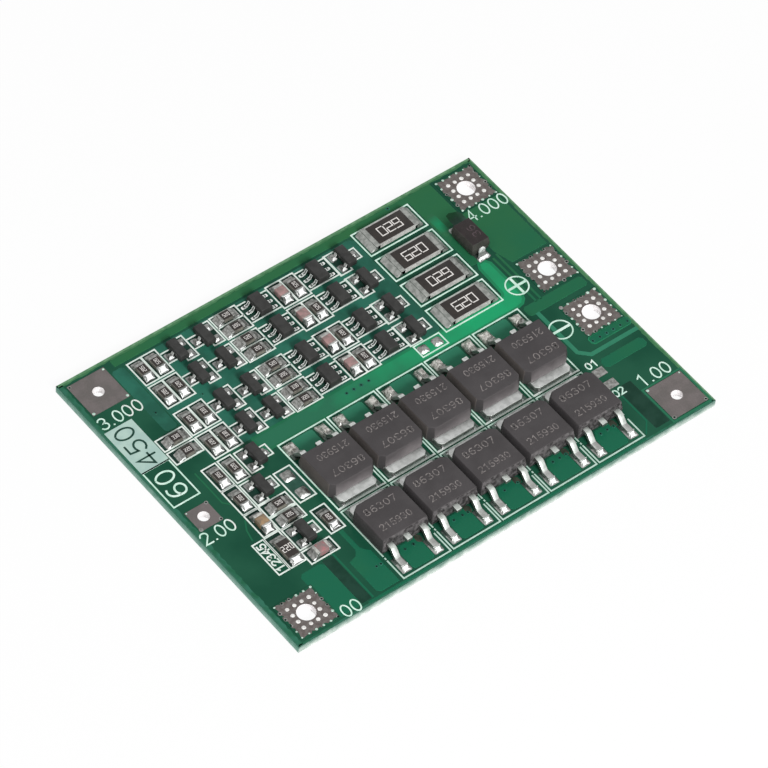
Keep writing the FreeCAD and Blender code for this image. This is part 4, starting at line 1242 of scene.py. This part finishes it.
# %% Vias in the open board
# Rows of vias: their common y, and the x of each
VIA_ROWS = {
    -7.62: (24.1, 25.15, 26.15, 27.15, 28.2, 29.25),
    -18.65: (-12.15, -10.95, -5.2, -3.95, -3.2, 2.1, 4.0, 9.1, 10.1, 11.0, 16.1, 17.1, 18.0),
    2.65: (-3.75, -2.72, -1.67, -0.58),
    12.0: (-17.15,), -18.7: (-16.2, -15.6), 21.75: (17.2,), 12.9: (-23.1,),
}
masked = [(x, y, TOP + COPPER) for y, row in VIA_ROWS.items() for x in row]
repeated("masked_via_rims", masked, [(0.27, -0.02), (0.24, 0.015), (0.18, 0.02)],
         "mask_over_fine_copper", 0.85, 1.1, 9)
repeated("masked_via_holes", masked, [(0.12, 0.0), (0.12, 0.026)], "shaded_hole",
         0.8, 1.1, 10)

# %% [markdown]
# ## Solder
#
# Molten solder wets the land and climbs the metal, so its skin is a hollow slope from the edge of
# the land up to the lead. A skirt is a skin through a few rings between the two outlines; the
# height falls off with the square of the distance, which makes the slope hollow.

# %% Solder skirts
# The noise draws its starting place from this seed, so the solder is the same in every run
noise.seed_set(1)
SKIRT_STEPS = (0.0, 0.3, 0.55, 0.75, 0.9, 1.0)
SKIRT_BASE, LUMPS = 0.03, 2.3


def rounded(x0, y0, x1, y1, radius):
    """A rectangle with round corners, twenty points anticlockwise."""
    radius = min(radius, (x1 - x0) / TWO_CUTS, (y1 - y0) / TWO_CUTS)
    middles = rectangle(x0 + radius, y0 + radius, x1 - radius, y1 - radius)
    spots = []
    for (x, y), first in zip(middles[1:] + middles[:1], (-90, 0, 90, 180)):
        spots += arc(x, y, radius, radius, first, first + 90, 4)
    return spots


def skirt(form, foot, land, low, height, finish=0, cut=0.15, hollow=2.2, wobble=0.05):
    """A hollow slope from the land's outline up to the foot's; both are x0, y0, x1, y1."""
    rings = []
    for step in SKIRT_STEPS:
        box = [a + (b - a) * step for a, b in zip(land, foot)]
        ring = []
        for x, y in rounded(*box, cut * (1 - step) + SKIRT_BASE):
            loose = wobble * 4 * (step + 0.4) * (1 - step)
            drift = noise.noise_vector(Vector((x * LUMPS, y * LUMPS, low * 9 + height)))
            ring.append((x + loose * drift.x, y + loose * drift.y,
                         low + SKIRT_BASE + height * step ** hollow + 0.4 * loose * drift.z))
        rings.append(ring)
    base = [(x, y, low) for x, y, z in rings[0]]
    form.loft([base] + rings, finish)


def outward(box, bodies, only_x=False):
    """The main direction from a part's body to one of its ends, as a unit step in x or y."""
    away = box.middle - nearest(box, bodies).middle
    if only_x or abs(away.x) > abs(away.y):
        return (math.copysign(1, away.x), 0)
    return (0, math.copysign(1, away.y))


def stretched(foot, step, out, back, side):
    """A foot grown outwards, backwards and to both sides, seen along its own direction."""
    x0, y0, x1, y1 = foot
    low, high = (back, out) if sum(step) > 0 else (out, back)
    if step[0]:
        return (x0 - low, y0 - side, x1 + high, y1 + side)
    return (x0 - side, y0 - low, x1 + side, y1 + high)


def toe(box, step, length):
    """The last length of a lead, seen from above."""
    foot, axis = list(box.plan), 0 if step[0] else 1
    if step[axis] > 0:
        foot[axis] = foot[axis + 2] - length
    else:
        foot[axis + 2] = foot[axis] + length
    return foot


def shining(name, form, finishes, least):
    """A piece of solder whose faces towards the key lamp's mirror direction get a painted glint."""
    item = piece(name, form, finishes, 50)
    facing(item, "solder_toward_the_key_lamp", least, KEY_MIRROR)


# %% Painted glints on the solder
GLINT_DEPTH = Vector((0, 0.02, -0.03))


def painted_glint(form, x, half, profile):
    """A painted glint: a patch with four points on a slope; the profile is y and z from the foot to
    the cap.
    """
    top, across = [], (-1, -0.5, 0, 0.5, 1)
    y_foot, y_cap = profile[0][0], profile[-1][0]
    wide, count = len(across), len(profile)
    for index in range(count):
        share = 2 * index / (count - 1) - 1
        for u in across:
            at = share * (1 - 0.25 * (1 - u * u))
            y = y_foot + (y_cap - y_foot) * (at + 1) / 2
            after = next(i for i in range(1, count) if y <= profile[i][0] + 1e-6)
            (y0, z0), (y1, z1) = profile[after - 1], profile[after]
            z = z0 + (z1 - z0) * (y - y0) / (y1 - y0)
            top.append(Vector((x + half * u * (1 - 0.5 * (1 - share * share)), y, z)))
    total, faces = len(top), []
    for r in range(count - 1):
        for a in range(r * wide, r * wide + wide - 1):
            b = total + a
            faces += [(a, a + 1, a + wide + 1, a + wide), (b + wide, b + wide + 1, b + 1, b)]
    ring = list(range(wide)) + [r * wide + wide - 1 for r in range(1, count)]
    ring += [(count - 1) * wide + c for c in range(wide - 2, -1, -1)]
    ring += [r * wide for r in range(count - 2, 0, -1)]
    for a, b in zip(ring, ring[1:] + ring[:1]):
        faces.append((total + a, total + b, b, a))
    form.add(top + [corner + GLINT_DEPTH for corner in top], faces)


painted_glints = Form()

# %% Joints of the chips
NEAR_SLOPE, NEAR_REACH = 1.15, 0.58
chip_joints = Form()
for kind in ("chip_resistor", "capacitor"):
    middles = solids(f"{kind}_bodies")
    for box in solids(f"{kind}_ends"):
        step = outward(box, middles)
        land = stretched(box.plan, step, NEAR_REACH, 0, 0.08)
        foot, tall = stretched(box.plan, step, 0.01, -0.1, 0.01), box.high.z - TOP
        if step != (0, -1):
            skirt(chip_joints, foot, land, TOP, 0.7 * tall, hollow=1.7)
            continue
        skirt(chip_joints, foot, land, TOP, 0.96 * tall, 1, hollow=NEAR_SLOPE)
        # A painted glint on the near end's fillet and cap
        climb = [(box.low.y - NEAR_REACH * (1 - s), TOP + 0.07 + 0.96 * tall * s ** NEAR_SLOPE)
                 for s in (0.04, 0.25, 0.5, 0.75, 0.96)]
        climb += [(box.low.y + 0.06, box.high.z + 0.03), (box.low.y + 0.2, box.high.z + 0.02)]
        painted_glint(painted_glints, box.middle.x, 0.5 * box.size.x, climb)
shining("chip_joints", chip_joints, "dull_solder bright_solder", 0.84)

# %% Joints of the small packages
TOE = 0.3
lead_joints = Form()
three_legs, six_legs = solids("transistor_bodies"), numbered("monitor_chip", 8)
for box in solids("transistor_leads"):
    step = outward(box, three_legs, True)
    foot = toe(box, step, TOE)
    skirt(lead_joints, foot, stretched(foot, step, 0.42, 0.22, 0.36), TOP, 0.03, 2, cut=0.12)
    skirt(lead_joints, foot, stretched(foot, step, 0.2, 0.3, 0.2), TOP, 0.34, cut=0.1, hollow=1.2,
          wobble=0.03)
for row in range(1, 5):
    for box in solids(f"monitor_leads_row_{row}"):
        step = outward(box, six_legs, True)
        foot = toe(box, step, TOE)
        skirt(lead_joints, foot, stretched(foot, step, 0.46, 0.1, 0.01), TOP, 0.05, 1, cut=0.08,
              wobble=0.01)
        skirt(lead_joints, foot, stretched(foot, step, 0.38, 0.1, -0.08), TOP, 0.09, 3, cut=0.06,
              wobble=0.01)
# The monitor leads' wider, lower skirts carry a painted highlight
shining("lead_joints", lead_joints, "dull_solder bright_tin bright_solder pin_tin", 0.8)

# %% Joints of the power parts
SEAT = LAND - 0.03
power_joints = Form()


def glint_steps(y, *steps):
    """A painted glint's profile from steps beyond an edge and heights above the land."""
    return [(y + out, LAND + high) for out, high in steps]


for number in MOSFETS:
    up = 1 if number in FAR_BANK else -1
    tab, *legs = sorted(solids(f"mosfet_leadframe_{number}"), key=lambda box: -box.size.x)
    for box in legs:
        foot = toe(box, (0, up), 0.7)
        if up > 0:
            skirt(power_joints, stretched(foot, (0, 1), -0.1, 0.1, -0.1),
                  stretched(foot, (0, 1), 0.5, 0.45, 0.3), SEAT, 0.68, 2, hollow=0.9, wobble=0.2)
        else:
            skirt(power_joints, foot, stretched(foot, (0, up), 0.6, 0.3, 0.26), SEAT, 0.36, 1)
            painted_glint(painted_glints, box.middle.x, 0.5,
                 glint_steps(box.low.y, (-0.56, 0.05), (-0.3, 0.1), (-0.04, 0.36), (0.16, 0.46)))
    edge = tab.low.y if up > 0 else tab.high.y
    for side in (tab.low.x + 0.35, tab.high.x - 0.35):
        foot = (side - 0.12, edge - 0.12, side + 0.12, edge + 0.12)
        skirt(power_joints, foot, stretched(foot, (0, -up), 0.16, 0.1, 0.12), SEAT, 0.14)
for box in solids("balance_resistor_caps"):
    step = outward(box, BALANCE)
    foot = toe(box, step, TOE)
    skirt(power_joints, foot, stretched(foot, step, 0.68, 0, 0.05), SEAT, 0.46, 1, hollow=1.2)
for box in solids("diode_leads"):
    step = outward(box, [diode])
    foot = toe(box, step, TOE)
    skirt(power_joints, foot, stretched(foot, step, 0.42, 0, 0.1), SEAT, 0.16)
    if step == (0, -1):
        painted_glint(painted_glints, box.middle.x, 0.62,
             glint_steps(box.low.y, (-0.38, 0.05), (-0.2, 0.1), (-0.02, 0.2), (0.1, 0.24)))
shining("power_joints", power_joints, "bright_solder smooth_solder lumpy_solder", 0.86)
# Painted glints: near-white patches where the solder would mirror the key lamp
piece("bright_solder", painted_glints, "solder_toward_the_key_lamp", 50)

# %% Tinned bare lands
# The rings of a dome: its share of the way inwards, and its height above the land
DOME = [(0, TOP - LAND), (0.0, 0.02), (0.35, 0.14), (0.7, 0.23), (1.0, 0.26)]
domes = Form()
for box in solids("bare_lands"):
    right = box.middle.x > 20
    spill = 0 if right else 0.12 if box.middle.x > 0 else 0.24
    outline = stretched(box.plan, (1, 0), spill, spill, spill)
    x0, y0, x1, y1 = outline
    inner = (x0 + 0.3 + spill, y0 + 0.3, x1 - 0.3 - spill, y1 - 0.3 - 1.5 * spill)
    skin = []
    for step, high in DOME:
        part = [a + (b - a) * step for a, b in zip(outline, inner)]
        flat = 0.2 if right and high > 0 else 1
        skin.append([(*spot, LAND + high * flat) for spot in eased(*part, 0.18)])
    domes.loft(skin)
shining("tinned_lands", domes, "dull_solder", 0.84)

# %% [markdown]
# ## Marks on the packages
#
# The power transistors carry laser marks, which are pale, thin and a little broken. The chips and
# the large resistors carry painted figures made of straight strokes. All of them are plain
# numbers of this lesson's own choosing, in the places and sizes of the real ones.

# %% Laser marks
MARK = 0.008
marks, diode_marks = Form(), Form()
for number, case in enumerate(numbered("mosfet_body", 10), 1):
    x, y, z = case.middle.x, case.middle.y, case.high.z
    turn, up = (180, -1) if number in FAR_BANK else (0, 1)
    write(marks, "86307", x - 0.3 * up, y + 1.35 * up, turn, (0.62, 0.85, 0.3, 0.11), MARK, z)
    write(marks, "215930", x - 0.15 * up, y - 1.3 * up, turn, (0.5, 0.82, 0.24, 0.11), MARK, z)
piece("laser_marks", marks, "laser_mark")
write(diode_marks, "36", 22.05, diode.middle.y - 0.1, 90, (0.7, 0.9, 0.3, 0.12), MARK, diode.high.z)
piece("diode_marks", diode_marks, "faint_mark")

# %% Painted figures
CHIP_SIZE = (0.17, 0.46, 0.13, 0.052)
painted = Form()
coats = sorted(solids("balance_resistor_coats"), key=lambda box: -box.middle.y)
for box, turn in zip(coats, (180, 0, 180, 0)):
    write(painted, "620", box.middle.x, box.middle.y, turn, (0.85, 1.3, 0.25, 0.13), MARK,
          box.high.z, SQUARE)
chip_cases = solids("chip_resistor_bodies")
for box in solids("chip_resistor_coats"):
    case = nearest(box, chip_cases)
    turn = 90 if case.size.x > case.size.y else 0
    text = ("220", "520", "330", "205")[int(abs(box.middle.x * 3 + box.middle.y)) % 4]
    scale = min(box.size.x, box.size.y) / 1.09 * (1.3 if max(box.size) > 2 else 1)
    size = [scale * part for part in CHIP_SIZE]
    write(painted, text, box.middle.x, box.middle.y, turn, size, MARK, box.high.z, SQUARE)
piece("painted_figures", painted, "pale_figures")

# %% [markdown]
# ## Close
#
# The box of the dressed scene is printed in millimetres.

# %% Print the dressed box
low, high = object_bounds()
print("visual box in mm:", [round(value / MM, 2) for value in high - low])
